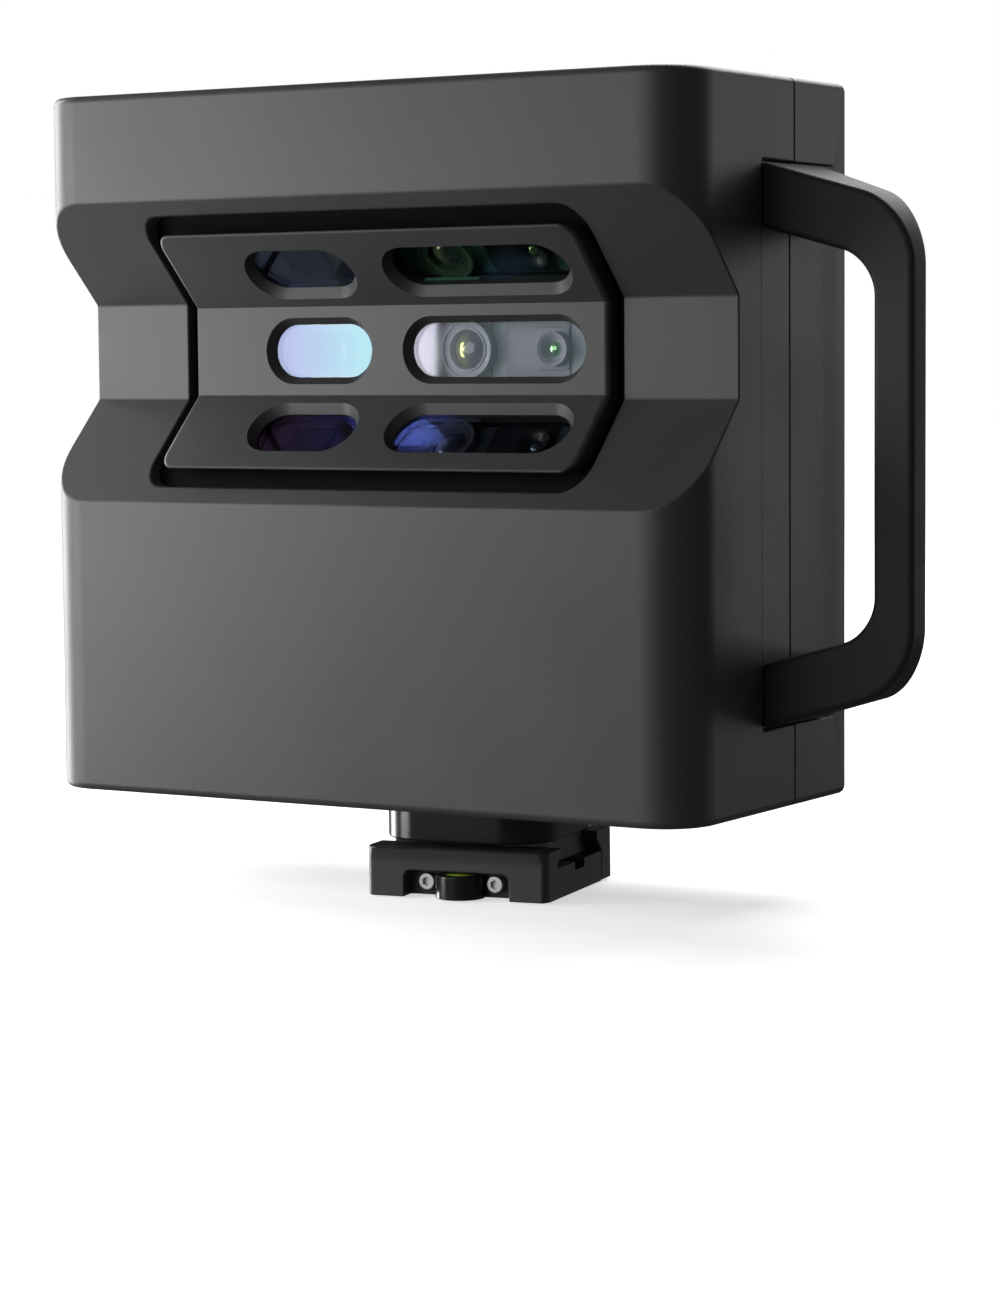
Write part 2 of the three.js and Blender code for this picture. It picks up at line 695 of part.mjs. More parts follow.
function sidePanel() {
  const inside = LEFT + WALL + GAP;
  const halfWidth = DISPLAY.width / 2;
  const halfHeight = DISPLAY.height / 2;
  const pane = (grow) =>
    rectangle(
      PANEL_Y - halfWidth - grow,
      PANEL_Y + halfWidth + grow,
      DISPLAY.z - halfHeight - grow,
      DISPLAY.z + halfHeight + grow,
      1.2,
    );
  const button = turned(
    [
      [0, LEFT - BUTTON.proud],
      [BUTTON.radius - 0.8, LEFT - BUTTON.proud],
      [BUTTON.radius, LEFT - BUTTON.proud + 0.8],
      [BUTTON.radius, inside],
      [BUTTON.flange, inside],
      [BUTTON.flange, inside + 1.2],
      [2, inside + 1.2],
      [2, inside + 3.4],
      [0, inside + 3.4],
    ],
    16,
  );
  const socket = turned([
    [0, LEFT + 3],
    [CHARGE.pin, LEFT + 3],
    [CHARGE.pin, SIDE_BOARD_X - 2],
    [CHARGE.bore, SIDE_BOARD_X - 2],
    [CHARGE.bore, LEFT + 0.5],
    [CHARGE.radius, LEFT + 0.5],
    [CHARGE.radius, SIDE_BOARD_X - GAP],
    [0, SIDE_BOARD_X - GAP],
  ]);
  const board = box(
    SIDE_BOARD_X,
    SIDE_BOARD_X + SIDE_BOARD.thickness,
    SIDE_BOARD.front,
    SIDE_BOARD.back,
    SIDE_BOARD.bottom,
    SIDE_BOARD.top,
  );
  return groupOf(
    part("display_window", prismX(pane(-GAP), LEFT + 0.4, LEFT + 1.9), FINISH.glass),
    part("display_panel", prismX(pane(3), inside, inside + 2.5), FINISH.board),
    part("side_board", board, FINISH.board),
    part("power_button", alongX(button).translate(0, PANEL_Y, BUTTON.z), FINISH.bezel),
    part("button_spring", buttonSpring(), FINISH.steel),
    part("charge_port", alongX(socket).translate(0, PANEL_Y, CHARGE.z), FINISH.seal),
  );
}

// ---------------------------------------------------------------- pan drive and electronics

/** A spur gear's outline about the origin, with one tooth centred on +X turned by phase. */
function gearOutline(teeth, phase) {
  const pitch = (GEAR_MODULE * teeth) / 2;
  const base = pitch * Math.cos(THREE.MathUtils.degToRad(20));
  const involute = (radius) => {
    const angle = Math.acos(Math.min(1, base / radius));
    return Math.tan(angle) - angle;
  };
  const halfAtPitch = Math.PI / (2 * teeth) - BACKLASH / (4 * pitch);
  const halfTooth = (radius) => halfAtPitch + involute(pitch) - involute(radius);
  const radii = [pitch - 1.2 * GEAR_MODULE, pitch + 0.8 * GEAR_MODULE];
  const points = [];
  for (let i = 0; i < teeth; i++) {
    const centre = phase + (i * 2 * Math.PI) / teeth;
    for (const radius of radii) points.push([radius, centre - halfTooth(radius)]);
    for (const radius of radii.toReversed()) points.push([radius, centre + halfTooth(radius)]);
  }
  return new THREE.Shape(
    points.map(([r, a]) => new THREE.Vector2(r * Math.cos(a), r * Math.sin(a))),
  );
}

function panDrive() {
  const floor = CHASSIS_FLOOR + CHASSIS_THICKNESS;
  const bossTop = GEAR_FLOOR - 1.5;
  const chassis = cut(
    join(
      box(
        CHASSIS.left,
        CHASSIS.right,
        -CHASSIS.halfDepth,
        CHASSIS.halfDepth,
        CHASSIS_FLOOR,
        floor,
      ),
      rod(CHASSIS.bossRadius, floor - 1, bossTop, 16),
    ),
    rod(SPINDLE_RADIUS + 2, CHASSIS_FLOOR - 1, floor + 1, 16),
    rod(BEARING.outer + GAP, floor, bossTop + 1, 16),
  );
  const bearing = (z) =>
    ring(SPINDLE_RADIUS + GAP, BEARING.outer, z, z + BEARING.height);
  const motor = turned(
    [
      [0, floor + GAP],
      [MOTOR_RADIUS, floor + GAP],
      [MOTOR_RADIUS, GEAR_FLOOR - 1],
      [1.5, GEAR_FLOOR - 1],
      [1.5, GEAR_FLOOR + GEAR_HEIGHT + 0.5],
      [0, GEAR_FLOOR + GEAR_HEIGHT + 0.5],
    ],
    20,
  ).translate(MOTOR_X, 0, 0);
  const gearTop = GEAR_FLOOR + GEAR_HEIGHT;
  const panGear = cut(
    prismZ(gearOutline(PAN_TEETH, 0), GEAR_FLOOR, gearTop),
    rod(SPINDLE_RADIUS + GAP, GEAR_FLOOR - 1, gearTop + 1, 16),
  );
  const pinion = cut(
    prismZ(gearOutline(PINION_TEETH, Math.PI / PINION_TEETH), GEAR_FLOOR, gearTop),
    rod(1.8, GEAR_FLOOR - 1, gearTop + 1, 12),
  ).translate([MOTOR_X, 0, 0]);
  const spindle = turned(
    [
      [0, HUB.bottom + GAP],
      [SPINDLE_FLANGE.radius, HUB.bottom + GAP],
      [SPINDLE_FLANGE.radius, SPINDLE_FLANGE.top],
      [SPINDLE_RADIUS, SPINDLE_FLANGE.top],
      [SPINDLE_RADIUS, gearTop + 1],
      [0, gearTop + 1],
    ],
    16,
  );
  return groupOf(
    part("chassis", chassis, FINISH.aluminium),
    part("bearing_lower", bearing(floor + GAP), FINISH.steel),
    part("bearing_upper", bearing(bossTop - BEARING.height - 0.5), FINISH.steel),
    part("pan_motor", motor, FINISH.anodised),
    part("pan_gear", panGear, FINISH.brass),
    part("motor_pinion", pinion, FINISH.brass),
    part("spindle", spindle, FINISH.steel),
  );
}

function electronics() {
  const { left, right, front, thickness, bottom, top } = MAIN_BOARD;
  const back = front + thickness;
  const board = join(
    box(left, right, front, back, bottom, top),
    ...CHIPS.map(([x0, x1, z0, z1]) => box(x0, x1, back - 0.6, CHIP_TOP, z0, z1)),
  );
  const battery = prismZ(
    rectangle(BATTERY.left, BATTERY.right, BATTERY.front, BATTERY.back, BATTERY.corner),
    BATTERY.bottom,
    BATTERY.top,
  );
  const ceiling = TOP - WALL - GAP;
  const antenna = box(
    ANTENNA.left,
    ANTENNA.right,
    ANTENNA.front,
    ANTENNA.back,
    ceiling - ANTENNA.height,
    ceiling,
  );
  return groupOf(
    part("main_board", board, FINISH.board),
    part("battery_pack", battery, FINISH.battery),
    part("position_antenna", antenna, FINISH.ceramic),
  );
}

// ---------------------------------------------------------------- hub, plate and clamp

function base() {
  const hub = cut(
    prismZ(rectangle(-HUB.half, HUB.half, -HUB.half, HUB.half, HUB.corner), HUB.bottom, HUB.top, {
      segments: 3,
      bevel: 0.6,
    }),
    rod(SPINDLE_FLANGE.radius + GAP, HUB.bottom - 1, SPINDLE_FLANGE.top + GAP, 16),
    rod(SPINDLE_RADIUS + GAP, HUB.bottom, HUB.top + 1, 16),
    ...[-1, 1].map((side) =>
      rod(2, HUB.bottom - 1, HUB.bottom + 7.3, 10).translate(side * PLATE_SCREW_X, 0, 0),
    ),
  );
  const profile = outline([
    [-PLATE.wide, PLATE.bottom],
    [PLATE.wide, PLATE.bottom],
    [PLATE.wide, DOVETAIL.low - 0.1],
    [PLATE.neck, DOVETAIL.high - 0.2],
    [PLATE.neck, PLATE.top],
    [-PLATE.neck, PLATE.top],
    [-PLATE.neck, DOVETAIL.high - 0.2],
    [-PLATE.wide, DOVETAIL.low - 0.1],
  ]);
  const headRoom = 2.6;
  const plate = cut(
    prismX(profile, -PLATE.length / 2, PLATE.length / 2),
    ...[-1, 1].flatMap((side) => [
      rod(2, PLATE.bottom, PLATE.top + 1, 10).translate(side * PLATE_SCREW_X, 0, 0),
      rod(3.4, PLATE.bottom - 1, PLATE.bottom + headRoom, 12).translate(side * PLATE_SCREW_X, 0, 0),
      rod(1.8, PLATE.bottom - 1, PLATE.bottom + 3.3, 10).translate(side * STOP_PIN_X, 0, 0),
    ]),
  );
  const sides = [
    ["left", -1],
    ["right", 1],
  ];
  const screws = sides.map(([name, side]) =>
    part(
      `plate_screw_${name}`,
      screw(3.1, 2.2, 1.7, 11.6)
        .rotateX(Math.PI)
        .translate(side * PLATE_SCREW_X, 0, PLATE.bottom + 0.1),
      FINISH.steel,
    ),
  );
  const pins = sides.map(([name, side]) =>
    part(
      `stop_pin_${name}`,
      rod(1.5, STOP_GROOVE.floor + 0.5, PLATE.bottom + 3, 12).translate(side * STOP_PIN_X, 0, 0),
      FINISH.steel,
    ),
  );
  return groupOf(
    part("hub", hub, FINISH.anodised),
    part("dovetail_plate", plate, FINISH.anodised),
    ...screws,
    ...pins,
  );
}

function clamp() {
  const profile = outline([
    [CLAMP.front, 0],
    [CLAMP.back, 0],
    [CLAMP.back, CLAMP.floor],
    [-DOVETAIL.wide, CLAMP.floor],
    [-DOVETAIL.wide, DOVETAIL.low],
    [-DOVETAIL.neck, DOVETAIL.high],
    [-DOVETAIL.neck, CLAMP.lip],
    [CLAMP.front - CLAMP.flare, CLAMP.lip],
    [CLAMP.front - CLAMP.flare, CLAMP.lip - 0.8],
    [CLAMP.front, CLAMP.lip - 3.2],
  ]);
  const plan = outline([
    [-CLAMP.half, CLAMP.front - CLAMP.flare, 4.5],
    [CLAMP.half, CLAMP.front - CLAMP.flare, 4.5],
    [CLAMP.half, JAW.back],
    [-CLAMP.half, JAW.back],
  ]);
  const guides = [
    ["left", -GUIDE.x],
    ["right", GUIDE.x],
  ];
  const guideBore = ([, x]) =>
    rodY(x, GUIDE.z, GUIDE.radius + GAP, LEVEL_RECESS.back - 1, JAW.back + OVERCUT);
  const body = cut(
    join(
      cut(
        common(
          prismX(profile, -CLAMP.half, CLAMP.half),
          prismZ(plan, -1, CLAMP.lip + 1, { segments: 2 }),
        ),
        prismY(
          outline([
            [-LEVEL_RECESS.half, -OVERCUT],
            [LEVEL_RECESS.half, -OVERCUT],
            [LEVEL_RECESS.half, LEVEL_RECESS.top, 3],
            [-LEVEL_RECESS.half, LEVEL_RECESS.top, 1],
          ]),
          CLAMP.front - OVERCUT,
          LEVEL_RECESS.back,
        ),
      ),
      rod(TONGUE.radius, 0, TONGUE.top, 20).translate(0, TONGUE.y, 0),
      box(-6, 6, TONGUE.y, LEVEL_RECESS.back + 1, 0, TONGUE.top),
    ),
    rod(VIAL.radius + GAP, VIAL.bottom - GAP, TONGUE.top + 4, 16).translate(0, TONGUE.y, 0),
    rod(BUSHING.radius + GAP, -OVERCUT, BUSHING.top + GAP, 16),
    ...guides.map(guideBore),
    rodY(0, KNOB.z, KNOB.screw + GAP, KNOB.tip - GAP, JAW.back),
    ...[-1, 1].map((side) =>
      box(
        Math.min(side * STOP_GROOVE.inner, side * (CLAMP.half + 1)),
        Math.max(side * STOP_GROOVE.inner, side * (CLAMP.half + 1)),
        -STOP_GROOVE.half,
        STOP_GROOVE.half,
        STOP_GROOVE.floor,
        CLAMP.floor + 1,
      ),
    ),
  );
  const vial = turned(
    [
      [0, VIAL.bottom],
      [VIAL.radius, VIAL.bottom],
      [VIAL.radius, VIAL.top - 0.4],
      [VIAL.radius * 0.6, VIAL.top],
      [0, VIAL.top + 0.1],
    ],
    16,
  ).translate(0, TONGUE.y, 0);
  const bushing = ring(BUSHING.bore, BUSHING.radius, 0, BUSHING.top);
  const screws = guides.map(([name, x]) =>
    part(
      `guide_screw_${name}`,
      screw(GUIDE.head, 2.5, GUIDE.radius, 49)
        .rotateX(Math.PI / 2)
        .translate(x, LEVEL_RECESS.back - GAP - 2.5, GUIDE.z),
      FINISH.steel,
    ),
  );
  const jawProfile = outline([
    [JAW.front, 0.2],
    [JAW.back, 0.2, 1],
    [JAW.back, JAW.top, 1],
    [DOVETAIL.neck, JAW.top],
    [DOVETAIL.neck, DOVETAIL.high],
    [DOVETAIL.wide, DOVETAIL.low],
    [DOVETAIL.wide, CLAMP.floor + GAP],
    [JAW.front, CLAMP.floor + GAP],
  ]);
  const jaw = cut(
    prismX(jawProfile, -CLAMP.half, CLAMP.half, { segments: 1 }),
    ...guides.map(guideBore),
    rodY(0, KNOB.z, KNOB.screw + GAP, JAW.front - 1, JAW.back + 1),
  );
  const knobFront = JAW.back + 0.5;
  const scallops = 12;
  const knob = cut(
    join(
      rodY(0, KNOB.z, KNOB.radius, knobFront, KNOB.back, 24),
      rodY(0, KNOB.z, KNOB.screw, KNOB.tip, knobFront + 1, 12),
    ),
    ...Array.from({ length: scallops }, (_, i) => {
      const angle = ((i + 0.5) * 2 * Math.PI) / scallops;
      const reach = KNOB.radius + 0.5;
      return rodY(
        reach * Math.cos(angle),
        KNOB.z + reach * Math.sin(angle),
        1,
        knobFront + 2,
        KNOB.back + 1,
        6,
      );
    }),
  );
  return groupOf(
    part("clamp_body", body, FINISH.anodised),
    part("bubble_level", vial, FINISH.vial),
    part("thread_bushing", bushing, FINISH.brass),
    ...screws,
    part("clamp_jaw", jaw, FINISH.anodised),
    part("clamp_knob", knob, FINISH.anodised),
  );
}

// ---------------------------------------------------------------- assembly

const support = groupOf(clamp(), base());
support.rotation.z = CLAMP_TURN;

const scanner = groupOf(
  support,
  casing(),
  windowModule(),
  ...FACES.map(sensorTier),
  opticalBench(),
  handle(),
  sidePanel(),
  panDrive(),
  electronics(),
);
scanner.name = "terrestrial_laser_scanner";

export default scanner;
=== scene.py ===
"""The finished look of a box-shaped terrestrial laser scanner on its quick-release clamp.

Each sub-assembly is a class that models its visible pieces around the CAD frame and dresses
them. Lengths are in millimetres in the classes and become metres in the Workshop.
"""

import logging
import math
from collections.abc import Callable, Sequence
from dataclasses import dataclass, field
from enum import Enum

import bmesh
import bpy
from mathutils import Matrix, Vector


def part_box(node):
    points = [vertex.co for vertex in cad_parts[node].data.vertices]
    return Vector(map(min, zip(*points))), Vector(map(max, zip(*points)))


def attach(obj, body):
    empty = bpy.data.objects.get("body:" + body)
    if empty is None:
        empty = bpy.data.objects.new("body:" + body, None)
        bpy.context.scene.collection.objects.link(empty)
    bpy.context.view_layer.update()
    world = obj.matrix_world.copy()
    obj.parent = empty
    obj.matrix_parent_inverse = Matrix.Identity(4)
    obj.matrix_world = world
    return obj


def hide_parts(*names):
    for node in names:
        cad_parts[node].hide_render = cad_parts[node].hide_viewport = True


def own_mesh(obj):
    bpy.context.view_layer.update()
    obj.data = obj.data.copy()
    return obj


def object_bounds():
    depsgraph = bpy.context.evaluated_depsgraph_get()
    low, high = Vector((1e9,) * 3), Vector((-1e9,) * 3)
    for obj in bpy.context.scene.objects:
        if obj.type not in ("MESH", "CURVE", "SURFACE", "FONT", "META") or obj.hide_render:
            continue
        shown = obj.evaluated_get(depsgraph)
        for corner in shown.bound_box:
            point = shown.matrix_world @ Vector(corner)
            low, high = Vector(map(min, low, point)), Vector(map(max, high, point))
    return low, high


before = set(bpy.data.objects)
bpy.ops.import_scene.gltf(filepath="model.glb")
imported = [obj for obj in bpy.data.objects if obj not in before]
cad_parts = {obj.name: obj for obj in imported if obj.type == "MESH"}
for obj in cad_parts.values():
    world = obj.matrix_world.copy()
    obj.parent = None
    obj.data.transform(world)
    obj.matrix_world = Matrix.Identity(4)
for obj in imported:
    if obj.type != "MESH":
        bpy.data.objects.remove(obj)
CAD_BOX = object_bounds()

LOG = logging.getLogger("scanner")
MM = 0.001
TOLERANCE = 0.02  # millimetres within which two places count as the same

Piece = bpy.types.Object
Point = tuple[float, float, float]
Steps = tuple[tuple[float, float], ...]


class Axis(Enum):
    """A direction of the row frame."""

    X = Vector((1, 0, 0))
    Y = Vector((0, 1, 0))
    Z = Vector((0, 0, 1))


class Relief(Enum):
    """The kind of fine surface that a finish has."""

    SPARKED = "sparked"
    BLASTED = "blasted"
    TURNED = "turned"
    POLISHED = "polished"


def near(a: float, b: float) -> bool:
    """Whether two lengths in metres are the same place."""
    return abs(a - b) < TOLERANCE * MM


def box_of(node: str) -> tuple[Vector, Vector]:
    """A CAD node's lowest and highest corners in millimetres."""
    low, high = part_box(node)
    return low / MM, high / MM


def middle_of(node: str) -> Vector:
    """The middle of a CAD node's box in millimetres."""
    low, high = box_of(node)
    return (low + high) / 2


def rim_at(axis: Axis, *places: float) -> Callable[[Vector, Vector], bool]:
    """Picks the edges that lie in planes across an axis.

    Args:
        axis: The direction that the planes face.
        places: Where the planes are, in millimetres.

    Returns:
        A test of an edge's two ends, in metres.
    """

    def wanted(a: Vector, b: Vector) -> bool:
        ends = a.dot(axis.value), b.dot(axis.value)
        return any(all(near(end, place * MM) for end in ends) for place in places)

    return wanted


def faces_front(_: Vector, normal: Vector) -> bool:
    """Picks the faces that look along +Z."""
    return normal.z > 0.9


# ------------------------------------------------------------------ finishes


@dataclass(frozen=True)
class Finish:
    """An opaque surface: colour, gloss and the fine relief that catches the light.

    Attributes:
        name: The material's name.
        colour: Linear base colour.
        roughness: Mean roughness.
        relief: The kind of fine surface.
        grain: Size of the relief's grain in millimetres.
        height: Height of the relief in millimetres.
        metallic: How metallic the surface is.
        mottle: How far the colour drifts over the surface, as a share.
        coat: Strength of a clear coat.
        specular: Strength of the surface's own reflection.
    """

    name: str
    colour: tuple[float, float, float]
    roughness: float
    relief: Relief = Relief.SPARKED
    grain: float = 0.5
    height: float = 0.02
    metallic: float = 0.0
    mottle: float = 0.12
    coat: float = 0.0
    specular: float = 0.5

    def material(self) -> bpy.types.Material:
        """The finish's material, made the first time that it is asked for."""
        made = bpy.data.materials.get(self.name)
        if made is not None:
            return made
        made = bpy.data.materials.new(self.name)
        made.use_nodes = True
        tree = made.node_tree
        shader = tree.nodes["Principled BSDF"]
        shader.inputs["Metallic"].default_value = self.metallic
        shader.inputs["Coat Weight"].default_value = self.coat
        shader.inputs["Specular IOR Level"].default_value = self.specular
        place = tree.nodes.new("ShaderNodeTexCoord").outputs["Object"]
        grain = self._noise(tree, place, self.grain, 3.0)
        drift = self._noise(tree, place, 60.0, 2.0)
        self._colour(tree, shader, drift)
        self._roughness(tree, shader, grain, drift)
        self._bump(tree, shader, grain)
        return made

    def _noise(
        self, tree: bpy.types.NodeTree, place: bpy.types.NodeSocket, size: float, detail: float
    ) -> bpy.types.NodeSocket:
        """Noise of one grain size, drawn out along a turned surface.

        Args:
            tree: The material's nodes.
            place: The coordinates to read.
            size: The grain's size in millimetres.
            detail: Octaves of detail.

        Returns:
            The noise's factor.
        """
        mapping = tree.nodes.new("ShaderNodeMapping")
        stretch = (1, 1, 14) if self.relief is Relief.TURNED else (1, 1, 1)
        mapping.inputs["Scale"].default_value = stretch
        tree.links.new(place, mapping.inputs["Vector"])
        noise = tree.nodes.new("ShaderNodeTexNoise")
        noise.inputs["Scale"].default_value = 1 / (size * MM)
        noise.inputs["Detail"].default_value = detail
        noise.inputs["Roughness"].default_value = 0.6
        tree.links.new(mapping.outputs["Vector"], noise.inputs["Vector"])
        return noise.outputs["Fac"]

    def _colour(
        self, tree: bpy.types.NodeTree, shader: bpy.types.Node, drift: bpy.types.NodeSocket
    ) -> None:
        """Lets the colour drift a little over the surface."""
        ramp = tree.nodes.new("ShaderNodeValToRGB")
        for stop, share in zip(ramp.color_ramp.elements, (1 - self.mottle, 1 + self.mottle)):
            stop.color = (*(min(1.0, c * share) for c in self.colour), 1)
        ramp.color_ramp.elements[0].position = 0.3
        ramp.color_ramp.elements[1].position = 0.7
        tree.links.new(drift, ramp.inputs["Fac"])
        tree.links.new(ramp.outputs["Color"], shader.inputs["Base Color"])

    def _roughness(
        self,
        tree: bpy.types.NodeTree,
        shader: bpy.types.Node,
        grain: bpy.types.NodeSocket,
        drift: bpy.types.NodeSocket,
    ) -> None:
        """Breaks the gloss up with the grain and with broad handling marks."""
        both = tree.nodes.new("ShaderNodeMath")
        both.operation = "MULTIPLY_ADD"
        both.inputs[1].default_value = 0.6
        tree.links.new(grain, both.inputs[0])
        tree.links.new(drift, both.inputs[2])
        spread = tree.nodes.new("ShaderNodeMapRange")
        spread.inputs["From Min"].default_value = 0.5
        spread.inputs["From Max"].default_value = 1.1
        spread.inputs["To Min"].default_value = self.roughness * 0.88
        spread.inputs["To Max"].default_value = min(1.0, self.roughness * 1.12)
        tree.links.new(both.outputs["Value"], spread.inputs["Value"])
        tree.links.new(spread.outputs["Result"], shader.inputs["Roughness"])

    def _bump(
        self, tree: bpy.types.NodeTree, shader: bpy.types.Node, grain: bpy.types.NodeSocket
    ) -> None:
        """Raises the grain."""
        bump = tree.nodes.new("ShaderNodeBump")
        bump.inputs["Strength"].default_value = 0.15 if self.relief is Relief.POLISHED else 0.6
        bump.inputs["Distance"].default_value = self.height * MM
        tree.links.new(grain, bump.inputs["Height"])
        tree.links.new(bump.outputs["Normal"], shader.inputs["Normal"])


@dataclass(frozen=True)
class CoatedGlass:
    """A window or lens whose coating shifts in colour from one side to the other; on the middle and
    lower camera panes the bright left end holds a painted reflection.

    Attributes:
        name: The material's name.
        left: Coating colour at the left end.
        right: Coating colour at the right end.
        span: Left and right ends of the shift, in millimetres along X.
        cover: How opaque the coating is.
        metallic: How mirror-like the coating is.
        roughness: Roughness of the polish.
    """

    name: str
    left: tuple[float, float, float]
    right: tuple[float, float, float]
    span: tuple[float, float]
    cover: float
    metallic: float = 1.0
    roughness: float = 0.03

    def material(self) -> bpy.types.Material:
        """The glass's material, made the first time that it is asked for."""
        made = bpy.data.materials.get(self.name)
        if made is not None:
            return made
        made = bpy.data.materials.new(self.name)
        made.use_nodes = True
        tree = made.node_tree
        shader = tree.nodes["Principled BSDF"]
        shader.inputs["Metallic"].default_value = self.metallic
        shader.inputs["Alpha"].default_value = self.cover
        place = tree.nodes.new("ShaderNodeTexCoord").outputs["Object"]
        split = tree.nodes.new("ShaderNodeSeparateXYZ")
        tree.links.new(place, split.inputs["Vector"])
        share = tree.nodes.new("ShaderNodeMapRange")
        share.inputs["From Min"].default_value = self.span[0] * MM
        share.inputs["From Max"].default_value = self.span[1] * MM
        tree.links.new(split.outputs["X"], share.inputs["Value"])
        ramp = tree.nodes.new("ShaderNodeValToRGB")
        ramp.color_ramp.interpolation = "EASE"
        ramp.color_ramp.elements[0].color = (*self.left, 1)
        ramp.color_ramp.elements[1].color = (*self.right, 1)
        tree.links.new(share.outputs["Result"], ramp.inputs["Fac"])
        tree.links.new(ramp.outputs["Color"], shader.inputs["Base Color"])
        polish = tree.nodes.new("ShaderNodeTexNoise")
        polish.inputs["Scale"].default_value = 1 / (8 * MM)
        tree.links.new(place, polish.inputs["Vector"])
        spread = tree.nodes.new("ShaderNodeMapRange")
        spread.inputs["To Min"].default_value = self.roughness * 0.95
        spread.inputs["To Max"].default_value = self.roughness * 1.1
        tree.links.new(polish.outputs["Fac"], spread.inputs["Value"])
        tree.links.new(spread.outputs["Result"], shader.inputs["Roughness"])
        return made


CASING = Finish(
    "casing_charcoal", (0.05, 0.05, 0.051), 0.46, grain=0.8, height=0.07, specular=0.42
)
BEZEL = Finish(
    "bezel_charcoal", (0.043, 0.043, 0.044), 0.46, grain=0.7, height=0.08, specular=0.42
)
HANDLE = Finish(
    "handle_black", (0.028, 0.028, 0.029), 0.6, grain=0.5, height=0.04, specular=0.25
)
SEAL = Finish("seal_rubber", (0.004, 0.004, 0.004), 0.9, grain=0.8, height=0.03, specular=0.15)
ANODISED = Finish(
    "anodised_black", (0.05, 0.05, 0.051), 0.4, Relief.BLASTED, 0.25, 0.01, specular=0.3
)
HUB_GLOSS = Finish(
    "hub_gloss", (0.012, 0.012, 0.013), 0.2, Relief.TURNED, 0.3, 0.002, specular=0.4
)
STEEL = Finish(
    "screw_steel", (0.75, 0.75, 0.74), 0.42, Relief.TURNED, 0.2, 0.003, metallic=1.0
)
ALUMINIUM = Finish(
    "blasted_aluminium", (0.6, 0.6, 0.61), 0.42, Relief.BLASTED, 0.3, 0.01, metallic=1.0
)
BRASS = Finish("gear_brass", (0.62, 0.43, 0.16), 0.3, Relief.TURNED, 0.25, 0.004, metallic=1.0)
BOARD = Finish("board_green", (0.015, 0.11, 0.05), 0.35, grain=0.7, height=0.01, coat=0.3)
BATTERY = Finish("battery_sleeve", (0.02, 0.05, 0.13), 0.38, grain=1.5, height=0.04)
CERAMIC = Finish("antenna_ceramic", (0.66, 0.62, 0.52), 0.6, grain=0.5, height=0.02)
SCREEN = Finish("display_grey_green", (0.05, 0.065, 0.05), 0.3, Relief.POLISHED, 0.5, 0.002)
# A bright polished bar laid where the projector frame's edge catches a highlight: a painted
# highlight.
PAINTED_HIGHLIGHT_BAR = Finish(
    "painted_highlight_bar_white", (0.35, 0.33, 0.3), 0.12, Relief.POLISHED, 0.5, 0.001, metallic=1.0
)


@dataclass(frozen=True)
class TierLook:
    """How one tier's coatings colour its glass and what is seen behind it, the parts behind painted
    lighter or darker per tier as light and shade.

    Attributes:
        projector_pane: The glass of the projector's window.
        camera_pane: The glass of the cameras' window.
        barrel: The large-lens camera's plate and rings.
        plate: The small-lens camera's plate and rings.
        shelf: The carrier between the plates.
        emitter: The projector's frame.
        diffuser: The plate round that frame.
        lens: The large lens.
        small_lens: The small lens.
    """

    projector_pane: CoatedGlass
    camera_pane: CoatedGlass
    barrel: Finish
    plate: Finish
    shelf: Finish
    emitter: Finish
    diffuser: Finish
    lens: CoatedGlass
    small_lens: CoatedGlass


def sensor_finish(name: str, colour: tuple[float, float, float], rough: float = 0.35) -> Finish:
    """A smooth, mostly dark finish of a sensor piece, tinted by the coating in front of it; how
    light it is in each tier is painted light and shade.
    """
    return Finish(name, colour, rough, Relief.POLISHED, 0.6, 0.0006)


def mirror_finish(name: str, colour: tuple[float, float, float]) -> Finish:
    """A polished plate behind glass that shows mostly what it mirrors."""
    return Finish(name, colour, 0.08, Relief.POLISHED, 3.0, 0.0002, metallic=1.0)


def lens_coating(
    name: str,
    colour: tuple[float, float, float],
    deep: tuple[float, float, float] = (0.1, 0.11, 0.13),
    span: tuple[float, float] = (2, 6),
    metallic: float = 0.6,
) -> CoatedGlass:
    """A lens whose coating tints the lights that it mirrors on one side."""
    return CoatedGlass(name, colour, deep, span, 1.0, metallic)


# The same sensors, lenses and carrier stand in all three tiers. Their colours are tinted by each
# tier's coating, and they are painted much lighter in the middle tier than in the upper and lower
# tiers: painted light and shade.
UPPER_LOOK = TierLook(
    CoatedGlass("pane_navy", (0.11, 0.135, 0.22), (0.1, 0.14, 0.17), (-62, -28), 0.4),
    CoatedGlass("pane_green", (0.03, 0.06, 0.05), (0.03, 0.09, 0.05), (-12, 47), 0.3),
    sensor_finish("barrel_green", (0.05, 0.12, 0.06)),
    sensor_finish("plate_green", (0.008, 0.016, 0.012)),
    sensor_finish("shelf_teal", (0.1, 0.26, 0.21), 0.5),
    sensor_finish("emitter_navy", (0.012, 0.022, 0.045), 0.5),
    sensor_finish("diffuser_navy", (0.07, 0.085, 0.13), 0.5),
    lens_coating("lens_green", (0.3, 0.4, 0.2), (0.04, 0.07, 0.04)),
    lens_coating("small_lens_green", (0.35, 0.7, 0.2), (0.3, 0.6, 0.2), (30, 38), 0.9),
)
